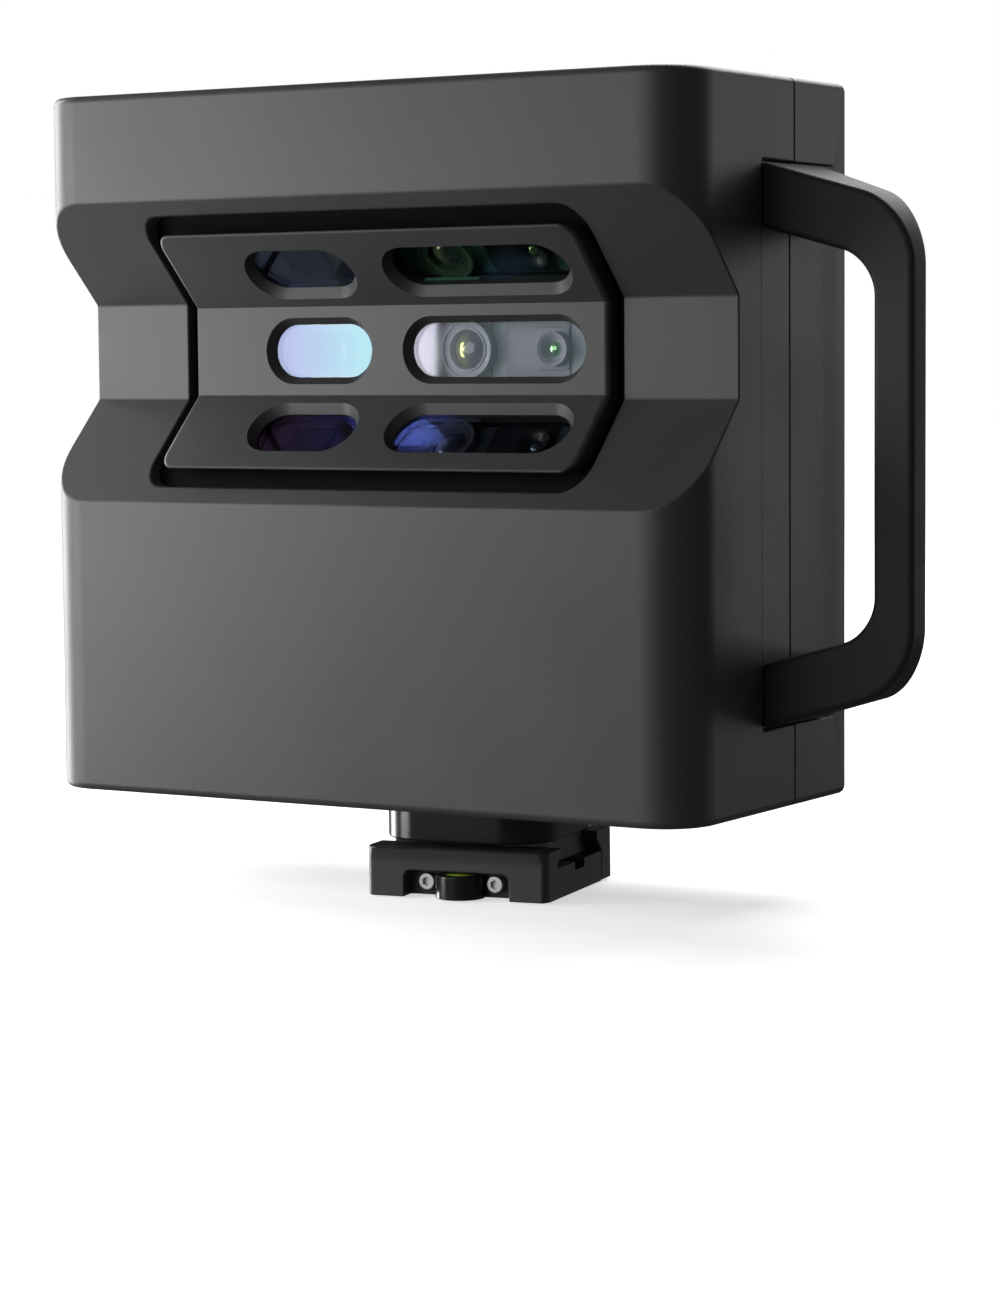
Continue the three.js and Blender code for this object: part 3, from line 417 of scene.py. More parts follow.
MIDDLE_LOOK = TierLook(
    CoatedGlass(
        "pane_lavender_cyan", (0.076, 0.085, 0.129), (0.073, 0.12, 0.137), (-62, -28), 0.6
    ),
    # Partly painted reflection: this pane's coating is lavender, and its much brighter left end
    # stands in for a reflection falling there.
    CoatedGlass(
        "pane_clear_lavender", (0.24, 0.235, 0.28), (0.06, 0.09, 0.095), (-12, 20), 0.2
    ),
    # Painted light: the middle tier's barrel, plate, carrier and lenses are made light to stand in
    # for light falling on the shaded interior behind the glass.
    sensor_finish("barrel_grey_blue", (0.36, 0.39, 0.45), 0.3),
    sensor_finish("plate_violet", (0.34, 0.32, 0.41)),
    sensor_finish("shelf_grey_blue", (0.5, 0.56, 0.64), 0.5),
    mirror_finish("emitter_pale_blue", (0.017, 0.019, 0.03)),
    mirror_finish("diffuser_white", (0.109, 0.084, 0.065)),
    lens_coating("lens_yellow_green", (0.45, 0.5, 0.16), (0.2, 0.21, 0.25)),
    lens_coating("small_lens_bright_green", (0.5, 1.0, 0.5), (0.4, 0.9, 0.4), (30, 38), 0.9),
)
LOWER_LOOK = TierLook(
    CoatedGlass("pane_violet", (0.07, 0.03, 0.08), (0.04, 0.05, 0.2), (-62, -28), 0.4),
    # Painted reflection: the vivid blue at this pane's left end stands in for a blue reflection in
    # the glass; towards the right it is the coating's own dark tint.
    CoatedGlass("pane_blue", (0.22, 0.25, 0.75), (0.014, 0.02, 0.03), (-4, 12), 0.3),
    sensor_finish("barrel_slate", (0.06, 0.065, 0.1)),
    sensor_finish("plate_slate", (0.012, 0.012, 0.02)),
    sensor_finish("shelf_slate", (0.07, 0.09, 0.12), 0.5),
    sensor_finish("emitter_violet", (0.016, 0.012, 0.03), 0.5),
    sensor_finish("diffuser_violet", (0.08, 0.05, 0.11), 0.5),
    lens_coating("lens_blue", (0.2, 0.24, 0.34), (0.04, 0.04, 0.06)),
    lens_coating("small_lens_blue", (0.2, 0.28, 0.45), (0.15, 0.2, 0.3), (30, 38), 0.9),
)
VIAL_FLUID = CoatedGlass("vial_fluid", (0.5, 0.75, 0.1), (0.55, 0.8, 0.12), (-5, 12), 0.8, 0.1)
DISPLAY_GLASS = CoatedGlass(
    "display_glass", (0.02, 0.02, 0.03), (0.02, 0.02, 0.03), (0, 1), 0.5, 0.2
)


# ------------------------------------------------------------------ workshop


class Workshop:
    """The modelling steps that the sub-assemblies share."""

    @staticmethod
    def activate(piece: Piece) -> None:
        """Makes a piece the only selected and the active one."""
        bpy.ops.object.select_all(action="DESELECT")
        piece.select_set(True)
        bpy.context.view_layer.objects.active = piece

    @staticmethod
    def settle(name: str) -> Piece:
        """Names the new primitive and moves its place into its mesh."""
        piece = bpy.context.object
        piece.name = name
        piece.data.name = name
        bpy.ops.object.transform_apply(location=True, rotation=True, scale=True)
        return piece

    @staticmethod
    def block(name: str, low: Point, high: Point) -> Piece:
        """A rectangular blank between two corners in millimetres."""
        low, high = Vector(low) * MM, Vector(high) * MM
        bpy.ops.object.select_all(action="DESELECT")
        bpy.ops.mesh.primitive_cube_add(size=1, location=(low + high) / 2)
        bpy.context.object.scale = high - low
        return Workshop.settle(name)

    @staticmethod
    def bar(name: str, radius: float, start: Point, end: Point, sides: int = 32) -> Piece:
        """A round blank between two points in millimetres."""
        start, end = Vector(start) * MM, Vector(end) * MM
        run = end - start
        bpy.ops.object.select_all(action="DESELECT")
        bpy.ops.mesh.primitive_cylinder_add(
            vertices=sides,
            radius=radius * MM,
            depth=run.length,
            location=(start + end) / 2,
            rotation=run.to_track_quat("Z", "Y").to_euler(),
        )
        return Workshop.settle(name)

    @staticmethod
    def place(piece: Piece, matrix: Matrix) -> Piece:
        """Moves a piece by a matrix, into its mesh."""
        Workshop.activate(piece)
        piece.matrix_world = matrix
        bpy.ops.object.transform_apply(location=True, rotation=True, scale=True)
        return piece

    @staticmethod
    def copy(piece: Piece, name: str) -> Piece:
        """A copy with a mesh of its own."""
        Workshop.activate(piece)
        bpy.ops.object.duplicate(linked=False)
        twin = bpy.context.object
        twin.name = name
        twin.data.name = name
        return twin

    @staticmethod
    def _edit(piece: Piece, mode: str) -> bmesh.types.BMesh:
        """Opens a piece for editing with nothing selected."""
        Workshop.activate(piece)
        bpy.ops.object.mode_set(mode="EDIT")
        bpy.ops.mesh.select_mode(type=mode)
        bpy.ops.mesh.select_all(action="DESELECT")
        return bmesh.from_edit_mesh(piece.data)

    @staticmethod
    def _close() -> None:
        """Leaves edit mode."""
        bpy.ops.object.mode_set(mode="OBJECT")

    @staticmethod
    def select_edges(piece: Piece, wanted: Callable[[Vector, Vector], bool]) -> int:
        """Opens a piece and selects the edges whose two ends are wanted.

        Returns:
            How many edges are selected.
        """
        mesh = Workshop._edit(piece, "EDGE")
        chosen = [e for e in mesh.edges if wanted(*(v.co for v in e.verts))]
        for edge in chosen:
            edge.select_set(True)
        bmesh.update_edit_mesh(piece.data)
        return len(chosen)

    @staticmethod
    def select_faces(piece: Piece, wanted: Callable[[Vector, Vector], bool]) -> int:
        """Opens a piece and selects the faces whose centre and normal are wanted.

        Returns:
            How many faces are selected.
        """
        mesh = Workshop._edit(piece, "FACE")
        chosen = [f for f in mesh.faces if wanted(f.calc_center_median(), f.normal)]
        for face in chosen:
            face.select_set(True)
        bmesh.update_edit_mesh(piece.data)
        return len(chosen)

    @staticmethod
    def bevel(
        piece: Piece, wanted: Callable[[Vector, Vector], bool], width: float, segments: int
    ) -> Piece:
        """Rounds the wanted edges.

        Args:
            piece: The piece to edit.
            wanted: Says from an edge's two ends whether it is rounded.
            width: The radius in millimetres.
            segments: Steps round the curve.

        Returns:
            The piece.
        """
        if Workshop.select_edges(piece, wanted):
            bpy.ops.mesh.bevel(offset=width * MM, segments=segments, profile=0.5)
        Workshop._close()
        return piece

    @staticmethod
    def stretch(
        piece: Piece, wanted: Callable[[Vector], bool], factors: Point, centre: Point
    ) -> Piece:
        """Scales the wanted vertices about a centre in millimetres."""
        mesh = Workshop._edit(piece, "VERT")
        for vertex in mesh.verts:
            if wanted(vertex.co):
                vertex.select_set(True)
        bmesh.update_edit_mesh(piece.data)
        bpy.ops.transform.resize(value=factors, center_override=Vector(centre) * MM)
        Workshop._close()
        return piece

    @staticmethod
    def shift(piece: Piece, wanted: Callable[[Vector], bool], by: Point) -> Piece:
        """Moves the wanted vertices by millimetres."""
        mesh = Workshop._edit(piece, "VERT")
        for vertex in mesh.verts:
            if wanted(vertex.co):
                vertex.select_set(True)
        bmesh.update_edit_mesh(piece.data)
        bpy.ops.transform.translate(value=Vector(by) * MM)
        Workshop._close()
        return piece

    @staticmethod
    def extrude(piece: Piece, wanted: Callable[[Vector, Vector], bool], by: Point) -> Piece:
        """Extrudes the wanted faces by millimetres."""
        Workshop.select_faces(piece, wanted)
        move = tuple(Vector(by) * MM)
        bpy.ops.mesh.extrude_region_move(TRANSFORM_OT_translate={"value": move})
        Workshop._close()
        return piece

    @staticmethod
    def terrace(
        piece: Piece, wanted: Callable[[Vector, Vector], bool], steps: Sequence[tuple[float, float]]
    ) -> Piece:
        """Steps a face inwards again and again.

        Args:
            piece: The piece to edit.
            wanted: Picks the face to start from.
            steps: Inset and rise of each step in millimetres.

        Returns:
            The piece.
        """
        Workshop.select_faces(piece, wanted)
        for inset, rise in steps:
            bpy.ops.mesh.inset(thickness=inset * MM, depth=rise * MM)
        Workshop._close()
        return piece

    @staticmethod
    def slice_at(piece: Piece, place: Point, normal: Axis) -> Piece:
        """Adds a ring of edges where a plane crosses the piece."""
        Workshop._edit(piece, "VERT")
        bpy.ops.mesh.select_all(action="SELECT")
        bpy.ops.mesh.bisect(plane_co=Vector(place) * MM, plane_no=normal.value)
        Workshop._close()
        return piece

    @staticmethod
    def carve(piece: Piece, *tools: Piece, how: str = "DIFFERENCE") -> Piece:
        """Cuts, joins or trims a piece with others, which are used up."""
        for tool in tools:
            Workshop.activate(piece)
            modifier = piece.modifiers.new("carve", "BOOLEAN")
            modifier.operation = how
            modifier.solver = "MANIFOLD"
            modifier.object = tool
            bpy.ops.object.modifier_apply(modifier=modifier.name)
            bpy.data.objects.remove(tool)
        return piece

    @staticmethod
    def merge_flat(piece: Piece) -> Piece:
        """Joins neighbouring faces that lie in one plane."""
        Workshop._edit(piece, "FACE")
        bpy.ops.mesh.select_all(action="SELECT")
        bpy.ops.mesh.dissolve_limited(angle_limit=math.radians(0.5))
        Workshop._close()
        return piece

    @staticmethod
    def soften(piece: Piece, width: float, sharper_than: float = 35, segments: int = 3) -> Piece:
        """Rounds every edge that is sharper than an angle in degrees."""
        Workshop.activate(piece)
        modifier = piece.modifiers.new("soften", "BEVEL")
        modifier.width = width * MM
        modifier.segments = segments
        modifier.limit_method = "ANGLE"
        modifier.angle_limit = math.radians(sharper_than)
        modifier.use_clamp_overlap = False
        modifier.miter_outer = "MITER_ARC"
        bpy.ops.object.modifier_apply(modifier=modifier.name)
        return piece

    @staticmethod
    def rounded_block(
        name: str, low: Point, high: Point, along: Axis, radius: float, segments: int = 12
    ) -> Piece:
        """A block whose four edges along an axis are rounded."""
        piece = Workshop.block(name, low, high)

        def runs_along(a: Vector, b: Vector) -> bool:
            return abs((b - a).normalized().dot(along.value)) > 0.99

        return Workshop.bevel(piece, runs_along, radius, segments)

    @staticmethod
    def finish(
        piece: Piece,
        finish: Finish | CoatedGlass,
        body: str,
        slot: str,
        nodes: Sequence[str] = (),
        smooth: float = 30,
    ) -> Piece:
        """Shades, paints and hangs a piece on its body.

        Args:
            piece: The finished piece.
            finish: What it is painted with.
            body: The CAD body that it rides on.
            slot: The record's material slot; not used.
            nodes: The CAD nodes that it stands for.
            smooth: Edges flatter than this many degrees are shaded smooth.

        Returns:
            The piece.
        """
        Workshop.activate(piece)
        bpy.ops.object.shade_smooth_by_angle(angle=math.radians(smooth))
        modifier = piece.modifiers.new("even_shading", "WEIGHTED_NORMAL")
        modifier.keep_sharp = True
        bpy.ops.object.modifier_apply(modifier=modifier.name)
        piece.data.materials.clear()
        piece.data.materials.append(finish.material())
        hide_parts(*nodes)
        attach(piece, body)
        LOG.info("%s: %d faces on %s", piece.name, len(piece.data.polygons), body)
        return piece


# ------------------------------------------------------------------ head casing


@dataclass
class Trench:
    """The V-shaped groove across the head and the sheets that follow it."""

    front: float
    middle: float
    depth: float = 31.0
    flat_half: float = 14.85
    mitre: float = math.tan(math.pi / 8)

    def void(
        self, name: str, offset: float, left: float, right: float, reach: float = 20
    ) -> Piece:
        """Everything in front of the groove's surface, that surface moved back by offset.

        Args:
            name: The name of the new piece.
            offset: How far back from the groove's own surface it ends.
            left: Its left end.
            right: Its right end.
            reach: How far it runs out in front of the head.

        Returns:
            The piece.
        """
        floor = self.front + self.depth + offset
        half = self.flat_half + offset * self.mitre
        mouth = self.front - reach
        piece = Workshop.block(
            name, (left, mouth, self.middle - half), (right, floor, self.middle + half)
        )
        return Workshop.stretch(
            piece,
            lambda v: near(v.y, mouth * MM),
            (1, 1, (half + floor - mouth) / half),
            (0, mouth, self.middle),
        )

    def sheet(
        self, name: str, near_side: float, far_side: float, left: float, right: float
    ) -> Piece:
        """A bent sheet between two offsets."""
        far = self.void(name, far_side, left, right)
        return Workshop.carve(far, self.void("near", near_side, left - 5, right + 5, reach=30))

    def face_frame(self, side: int, proud: float, along: float) -> Matrix:
        """The frame of one face of the bezel, in metres, looking out along its +Z.

        Args:
            side: 1 for the upper slope, 0 for the flat and -1 for the lower slope.
            proud: How far the face stands out from the groove.
            along: Distance up the slope to the frame's origin.

        Returns:
            The frame as a matrix.
        """
        reach = abs(side) * along * math.sqrt(0.5)
        flat_half = self.flat_half - proud * self.mitre
        origin = Vector(
            (0, self.front + self.depth - proud - reach, self.middle + side * (flat_half + reach))
        )
        turn = Matrix.Rotation(math.radians(90 + 45 * side), 4, "X")
        return Matrix.Translation(origin * MM) @ turn


@dataclass
class Casing:
    """The two moulded shells of the head, their seal and their screws."""

    trench: Trench
    wall: float = 4.0
    front_corner: float = 16.5
    back_corner: float = 5.0
    rim: float = 2.4
    hairline: float = 0.14
    crease: float = 0.6
    pocket_gap: tuple[float, float, float] = (5.1, 3.2, 5.7)
    pocket_corner: float = 8.0
    recess_depth: float = 1.6
    recess_splay: float = 9.0
    recess_gap: float = 0.3
    control_gap: float = 0.15
    spindle_hole: float = 9.0
    boss: float = 5.5
    counterbore: float = 3.6
    screw_head: float = 3.2
    hex_socket: float = 1.45
    low: Vector = field(default_factory=lambda: box_of("front_housing")[0])
    high: Vector = field(default_factory=lambda: box_of("rear_cover")[1])

    @property
    def seam(self) -> float:
        """Where the two shells meet, along Y."""
        return (box_of("seam_gasket")[0].y + box_of("seam_gasket")[1].y) / 2

    def blank(self, name: str, inset: float, rim: float) -> Piece:
        """The head's outer form, drawn in by inset."""
        low = self.low + Vector((inset,) * 3)
        high = self.high - Vector((inset,) * 3)
        piece = Workshop.block(name, low, high)
        for place, radius, segments in (
            (low.y, self.front_corner, 16),
            (high.y, self.back_corner, 8),
        ):
            Workshop.bevel(
                piece,
                lambda a, b, y=place: near(a.y, y * MM) and near(b.y, y * MM) and near(a.x, b.x),
                radius - inset,
                segments,
            )
        if rim:
            Workshop.bevel(piece, rim_at(Axis.Z, low.z, high.z), rim, 4)
        return piece

    def shell(self) -> Piece:
        """Both halves in one piece, hollow, with the trench and the handle's recess."""
        ends = (self.low.x - 10, self.high.x + 10)
        hollow = self.blank("hollow", self.wall, 0)
        Workshop.carve(hollow, self.trench.void("inner_trench", self.wall, *ends))
        low, high = box_of("handle")
        gap = self.recess_gap
        recess = Workshop.rounded_block(
            "recess",
            (self.high.x - self.recess_depth, low.y - gap, low.z - gap),
            (self.high.x + 2, high.y + gap, high.z + gap),
            Axis.X,
            0.5,
            2,
        )
        Workshop.shift(
            recess,
            lambda v: v.x > (self.high.x + 1) * MM and v.y > (high.y - 0.5) * MM,
            (0, self.recess_splay, 0),
        )
        piece = self.blank("shell", 0, self.rim)
        return Workshop.carve(piece, self.trench.void("trench", 0, *ends), hollow, recess)

    def half(self, shell: Piece, name: str, from_y: float, to_y: float) -> Piece:
        """One shell, cut from both."""
        low = (self.low.x - 1, from_y, self.low.z - 1)
        high = (self.high.x + 1, to_y, self.high.z + 1)
        piece = Workshop.copy(shell, name)
        Workshop.carve(piece, Workshop.block("keep", low, high), how="INTERSECT")
        return piece

    def pocket(self) -> Piece:
        """The cutter for the opening round the window bezel."""
        low, high = box_of("window_bezel")
        side, other, tall = self.pocket_gap
        return Workshop.rounded_block(
            "pocket",
            (low.x - side, self.low.y - 2, low.z - tall),
            (high.x + other, self.low.y + self.trench.depth + self.wall + 2, high.z + tall),
            Axis.Y,
            self.pocket_corner,
        )

    def side_openings(self) -> list[Piece]:
        """The cutters for the display, the button and the charging socket."""
        reach = (self.low.x - 2, self.low.x + self.wall + 2)
        low, high = box_of("display_window")
        gap = self.control_gap
        cutters = [
            Workshop.rounded_block(
                "display_opening",
                (reach[0], low.y - gap, low.z - gap),
                (reach[1], high.y + gap, high.z + gap),
                Axis.X,
                1.4,
                4,
            )
        ]
        for node, radius in (("power_button", 6.2), ("charge_port", 5.15)):
            _, y, z = middle_of(node)
            cutters.append(
                Workshop.bar("bore", radius, (reach[0], y, z), (reach[1], y, z), sides=48)
            )
        return cutters

    def build(self) -> None:
        """Models the shells, the seal and the four cover screws."""
        shell = self.shell()
        front = self.half(shell, "front_shell", self.low.y - 1, self.seam - self.hairline)
        Workshop.carve(front, self.pocket())
        Workshop.soften(front, self.crease)
        spindle_hole = Workshop.bar(
            "bore",
            self.spindle_hole,
            (0, 0, self.low.z - 2),
            (0, 0, self.low.z + self.wall + 2),
            sides=48,
        )
        Workshop.carve(front, spindle_hole, *self.side_openings())
        Workshop.finish(front, CASING, "head", "casing", ["front_housing"])
        rear = self.half(shell, "rear_shell", self.seam + self.hairline, self.high.y + 1)
        Workshop.soften(rear, 0.4)
        for node in ("lower_left", "lower_right", "upper_left", "upper_right"):
            self.cover_screw(rear, node)
        Workshop.finish(rear, CASING, "head", "casing", ["rear_cover"])
        bpy.data.objects.remove(shell)
        self.seal()

    def cover_screw(self, rear: Piece, place: str) -> None:
        """One socket-head screw sunk in the back, and its counterbore."""
        node = f"cover_screw_{place}"
        tip = box_of(node)[0].y
        x, _, z = middle_of(node)
        back = self.high.y
        face = back - 1
        boss = Workshop.bar("boss", self.boss, (x, self.seam + 1, z), (x, back - 2, z), sides=40)
        Workshop.carve(rear, boss, how="UNION")
        tools = [
            Workshop.bar("sink", self.counterbore, (x, back - 4, z), (x, back + 2, z), sides=40),
            Workshop.bar("bore", 1.9, (x, self.seam, z), (x, back, z), sides=20),
        ]
        Workshop.carve(rear, *tools)
        screw = Workshop.bar(
            f"{node}_fine", self.screw_head, (x, back - 3.9, z), (x, face, z), sides=40
        )
        Workshop.bevel(screw, rim_at(Axis.Y, face), 0.5, 3)
        socket = Workshop.bar("socket", self.hex_socket, (x, face - 1.8, z), (x, back, z), sides=6)
        Workshop.carve(screw, socket)
        shank = Workshop.bar("shank", 1.6, (x, tip, z), (x, back - 3, z), sides=24)
        Workshop.carve(screw, shank, how="UNION")
        Workshop.finish(screw, STEEL, "head", "steel", [node])

    def seal(self) -> None:
        """The thin gasket between the shells, seen only as a dark line."""
        inset = 1.2
        thin = self.hairline - 0.02
        low = self.low + Vector((inset, 0, inset))
        high = self.high - Vector((self.recess_depth + inset, 0, inset))
        low.y, high.y = self.seam - thin, self.seam + thin
        piece = Workshop.rounded_block("shell_seal", low, high, Axis.Y, 3, 4)
        inner_low = self.low + Vector((self.wall, 0, self.wall))
        inner_high = self.high - Vector((self.wall, 0, self.wall))
        inner_low.y, inner_high.y = self.seam - 2, self.seam + 2
        Workshop.carve(piece, Workshop.rounded_block("inner", inner_low, inner_high, Axis.Y, 2, 4))
        Workshop.finish(piece, SEAL, "head", "seal", ["seam_gasket"])


# ------------------------------------------------------------------ window module


@dataclass
class Window:
    """One stadium-shaped window of the bezel."""

    x: float
    length: float
    height: float = 16.3
    thickness: float = 1.5
    sink: float = 3.0
    flare: float = 2.0
    through: float = 6.0
    relief: float = 1.0
    fit: float = 0.1

    def cutter(self) -> Piece:
        """The bevelled recess and the straight hole below it, looking along +Z."""
        half, tall = self.length / 2 + self.flare, self.height / 2 + self.flare
        piece = Workshop.rounded_block(
            "window_cutter",
            (self.x - half, -tall, 0),
            (self.x + half, tall, 2),
            Axis.Z,
            tall - TOLERANCE,
            16,
        )
        Workshop.select_faces(piece, lambda c, n: n.z < -0.9)
        bpy.ops.mesh.inset(thickness=self.flare * MM, depth=self.sink * MM)
        bpy.ops.mesh.extrude_region_move(
            TRANSFORM_OT_translate={"value": (0, 0, -self.through * MM)}
        )
        bpy.ops.object.mode_set(mode="OBJECT")
        return piece

    def undercut(self) -> Piece:
        """The wider opening behind the glass, which lets the barrels stand close to it."""
        half, tall = self.length / 2 + self.relief, self.height / 2 + self.relief
        foot = -self.sink - self.thickness - 0.3
        return Workshop.rounded_block(
            "undercut",
            (self.x - half, -tall, foot - self.through),
            (self.x + half, tall, foot),
            Axis.Z,
            tall - TOLERANCE,
            16,
        )

    def pane(self, name: str) -> Piece:
        """The glass at the foot of the recess."""
        half, tall = self.length / 2 - self.fit, self.height / 2 - self.fit
        return Workshop.rounded_block(
            name,
            (self.x - half, -tall, -self.sink - self.thickness),
            (self.x + half, tall, -self.sink - 0.05),
            Axis.Z,
            tall - TOLERANCE,
            16,
        )


@dataclass
class WindowModule:
    """The bezel in the trench, its six windows, and the sensors behind them.

    Attributes:
        trench: The groove that the bezel follows.
        proud: How far the bezel's face stands out from the groove.
        thickness: The bezel's thickness.
        corner: The radius of its corners.
        slope_offset: Distance up each slope to its windows' middle line.
        light: Left, right and half height of the seal's openings.
        lens_face: Depth of the lens rings behind the bezel's face.
        plate_face: Depth of the cameras' face plates.
        plate_half: Half the plates' height.
        plate_thickness: Their thickness.
        emitter_face: Depth of the projectors' frames.
        depth_plate: Left and right ends of the large-lens camera's plate.
        depth_camera_at: Place along X, ring radius and lens radius.
        depth_steps: Inset and rise of each step of its rings.
        colour_plate: Left and right ends of the small-lens camera's plate.
        colour_camera_at: Place along X, ring radius and lens radius.
        colour_steps: Inset and rise of each step of its rings.
        colour_block: Left, right and half height of the block on its plate.
        carrier: Left, right and half height of the carrier.
        seat: Left, right and distance from the middle line of a pane's seat.
        projector_at: Place along X, half width and half height of the frame.
        diffuser_half: Half width and half height of the diffuser.
        bench_face: Depth of the sheet that carries the sensors.
        small: The projector's window.
        wide: The cameras' window.
        tiers: Name, side and finishes of each tier.
    """

    trench: Trench
    proud: float = 3.2
    thickness: float = 7.2
    corner: float = 5.0
    slope_offset: float = 13.4
    light: tuple[float, float, float] = (-66, 51, 9.1)
    lens_face: float = 5.8
    plate_face: float = 9.1
    plate_half: float = 9.3
    plate_thickness: float = 2.0
    emitter_face: float = 5.2
    depth_plate: tuple[float, float] = (-11.2, 11.5)
    depth_camera_at: tuple[float, float, float] = (4.5, 8.7, 5.6)
    depth_steps: Steps = (
        (0.4, 0), (0.1, -0.5), (1.55, -0.2), (0.1, 0.35), (0.5, 0), (0.2, -2.6), (0.1, 0)
    )
    colour_plate: tuple[float, float] = (16.7, 38.8)
    colour_camera_at: tuple[float, float, float] = (34.1, 5.2, 2.1)
    colour_steps: Steps = (
        (0.35, 0), (0.9, -0.4), (0.2, -0.2), (0.7, -0.5), (0.2, -0.4), (0.5, -0.4), (0.1, -0.5)
    )
    colour_block: tuple[float, float, float] = (27.4, 38.7, 6.35)
    carrier: tuple[float, float, float] = (-15, 47.2, 9.2)
    seat: tuple[float, float, float] = (-5.9, 13.4, 7.7)
    projector_at: tuple[float, float, float] = (-44.7, 7.4, 5.6)
    diffuser_half: tuple[float, float] = (17.2, 8.6)
    bench_face: float = 24.0
    small: Window = field(default_factory=lambda: Window(-44.8, 35))
    wide: Window = field(default_factory=lambda: Window(17.6, 60))
    tiers: tuple[tuple[str, int, TierLook], ...] = (
        ("upper", 1, UPPER_LOOK),
        ("middle", 0, MIDDLE_LOOK),
        ("lower", -1, LOWER_LOOK),
    )

    def build(self) -> None:
        """Models the bezel, then each tier of glass and sensors."""
        self.bezel()
        self.gasket()
        for tier, side, look in self.tiers:
            at = self.trench.face_frame(side, self.proud, self.slope_offset)
            self.panes(tier, at, look)
            self.depth_camera(tier, at, look, side)
            self.colour_camera(tier, at, look)
            self.projector(tier, at, look, side)

    def bezel(self) -> None:
        """The bent frame with its six bevelled openings."""
        low, high = box_of("window_bezel")
        back = self.thickness - self.proud
        piece = self.trench.sheet("bezel", -self.proud, back, low.x - 5, high.x + 5)
        trim = Workshop.rounded_block(
            "trim",
            (low.x, low.y - 10, low.z),
            (high.x, high.y + 10, high.z),
            Axis.Y,
            self.corner,
            10,
        )
        Workshop.carve(piece, trim, how="INTERSECT")
        Workshop.soften(piece, 1.7, sharper_than=50, segments=5)
        for _, side, _ in self.tiers:
            at = self.trench.face_frame(side, self.proud, self.slope_offset)
            for window in (self.small, self.wide):
                cutters = [Workshop.place(c, at) for c in (window.cutter(), window.undercut())]
                Workshop.carve(piece, *cutters)
        Workshop.finish(piece, BEZEL, "head", "bezel", ["window_bezel"])

    def gasket(self) -> None:
        """The black seal behind the bezel that closes the gap round it."""
        low, high = box_of("bezel_gasket")
        near_side = self.thickness - self.proud + 0.3
        piece = self.trench.sheet("bezel_seal", near_side, near_side + 1.2, low.x, high.x)
        trim = Workshop.rounded_block(
            "trim", (low.x - 1, low.y - 5, low.z), (high.x + 1, high.y + 5, high.z), Axis.Y, 6, 6
        )
        Workshop.carve(piece, trim, how="INTERSECT")
        for _, side, _ in self.tiers:
            at = self.trench.face_frame(side, self.proud, self.slope_offset)
            left, right, tall = self.light
            opening = Workshop.rounded_block(
                "light", (left, -tall, -16), (right, tall, 0), Axis.Z, 4, 4
            )
            Workshop.carve(piece, Workshop.place(opening, at))
        Workshop.finish(piece, SEAL, "head", "seal", ["bezel_gasket"])

    def panes(self, tier: str, at: Matrix, look: TierLook) -> None:
        """Both panes of one tier."""
        for window, kind, finish in (
            (self.small, "projector", look.projector_pane),
            (self.wide, "camera", look.camera_pane),
        ):
            pane = Workshop.place(window.pane(f"{kind}_pane_{tier}"), at)
            Workshop.finish(pane, finish, "head", "glass", [f"{kind}_window_{tier}"])

    def plate(self, name: str, span: tuple[float, float]) -> Piece:
        """A sensor's dark face plate with rounded corners."""
        front = -self.plate_face
        plate = Workshop.rounded_block(
            name,
            (span[0], -self.plate_half, front - self.plate_thickness),
            (span[1], self.plate_half, front),
            Axis.Z,
            1.6,
            5,
        )
        return Workshop.soften(plate, 0.25)

    def barrel(self, plate: Piece, x: float, radius: float, steps: Steps) -> None:
        """Adds a stepped lens barrel in front of a face plate and its stem behind."""
        front = -self.lens_face - 0.05
        root = -self.plate_face - 1
        ring = Workshop.bar("ring", radius, (x, 0, root), (x, 0, front), sides=64)
        Workshop.terrace(ring, faces_front, steps)
        stem = Workshop.bar("stem", radius * 0.8, (x, 0, 1 - self.bench_face), (x, 0, root), 40)
        Workshop.carve(plate, ring, stem, how="UNION")

    def lens(self, name: str, x: float, radius: float, base: float) -> Piece:
        """A domed front lens."""
        piece = Workshop.bar(name, radius, (x, 0, base), (x, 0, base + 0.2), sides=64)
        share = radius / 6
        steps = [(share, share * rise) for rise in (1.0, 0.7, 0.45, 0.25, 0.1)]
        return Workshop.terrace(piece, faces_front, steps)

    def depth_camera(self, tier: str, at: Matrix, look: TierLook, side: int) -> None:
        """The large-lens camera: a wide flange, a raised inner ring and a domed lens."""
        x, ring, glass = self.depth_camera_at
        body = self.plate(f"depth_camera_body_{tier}", self.depth_plate)
        self.barrel(body, x, ring, self.depth_steps)
        Workshop.place(body, at)
        Workshop.finish(body, look.barrel, "head", "lens", [f"depth_camera_{tier}"])
        lens = self.lens(f"depth_lens_{tier}", x, glass, -self.lens_face - 2.8)
        Workshop.finish(Workshop.place(lens, at), look.lens, "head", "lens", smooth=60)
        self.shelf(tier, at, look)
        if side:
            left, right, offset = self.seat
            low, high = (left, -side * offset - 0.35), (right, -side * offset + 0.35)
            lip = Workshop.rounded_block(
                f"pane_seat_{tier}", (*low, -5.3), (*high, -4.8), Axis.Z, 0.2, 3
            )
            Workshop.finish(Workshop.place(lip, at), look.shelf, "head", "lens")

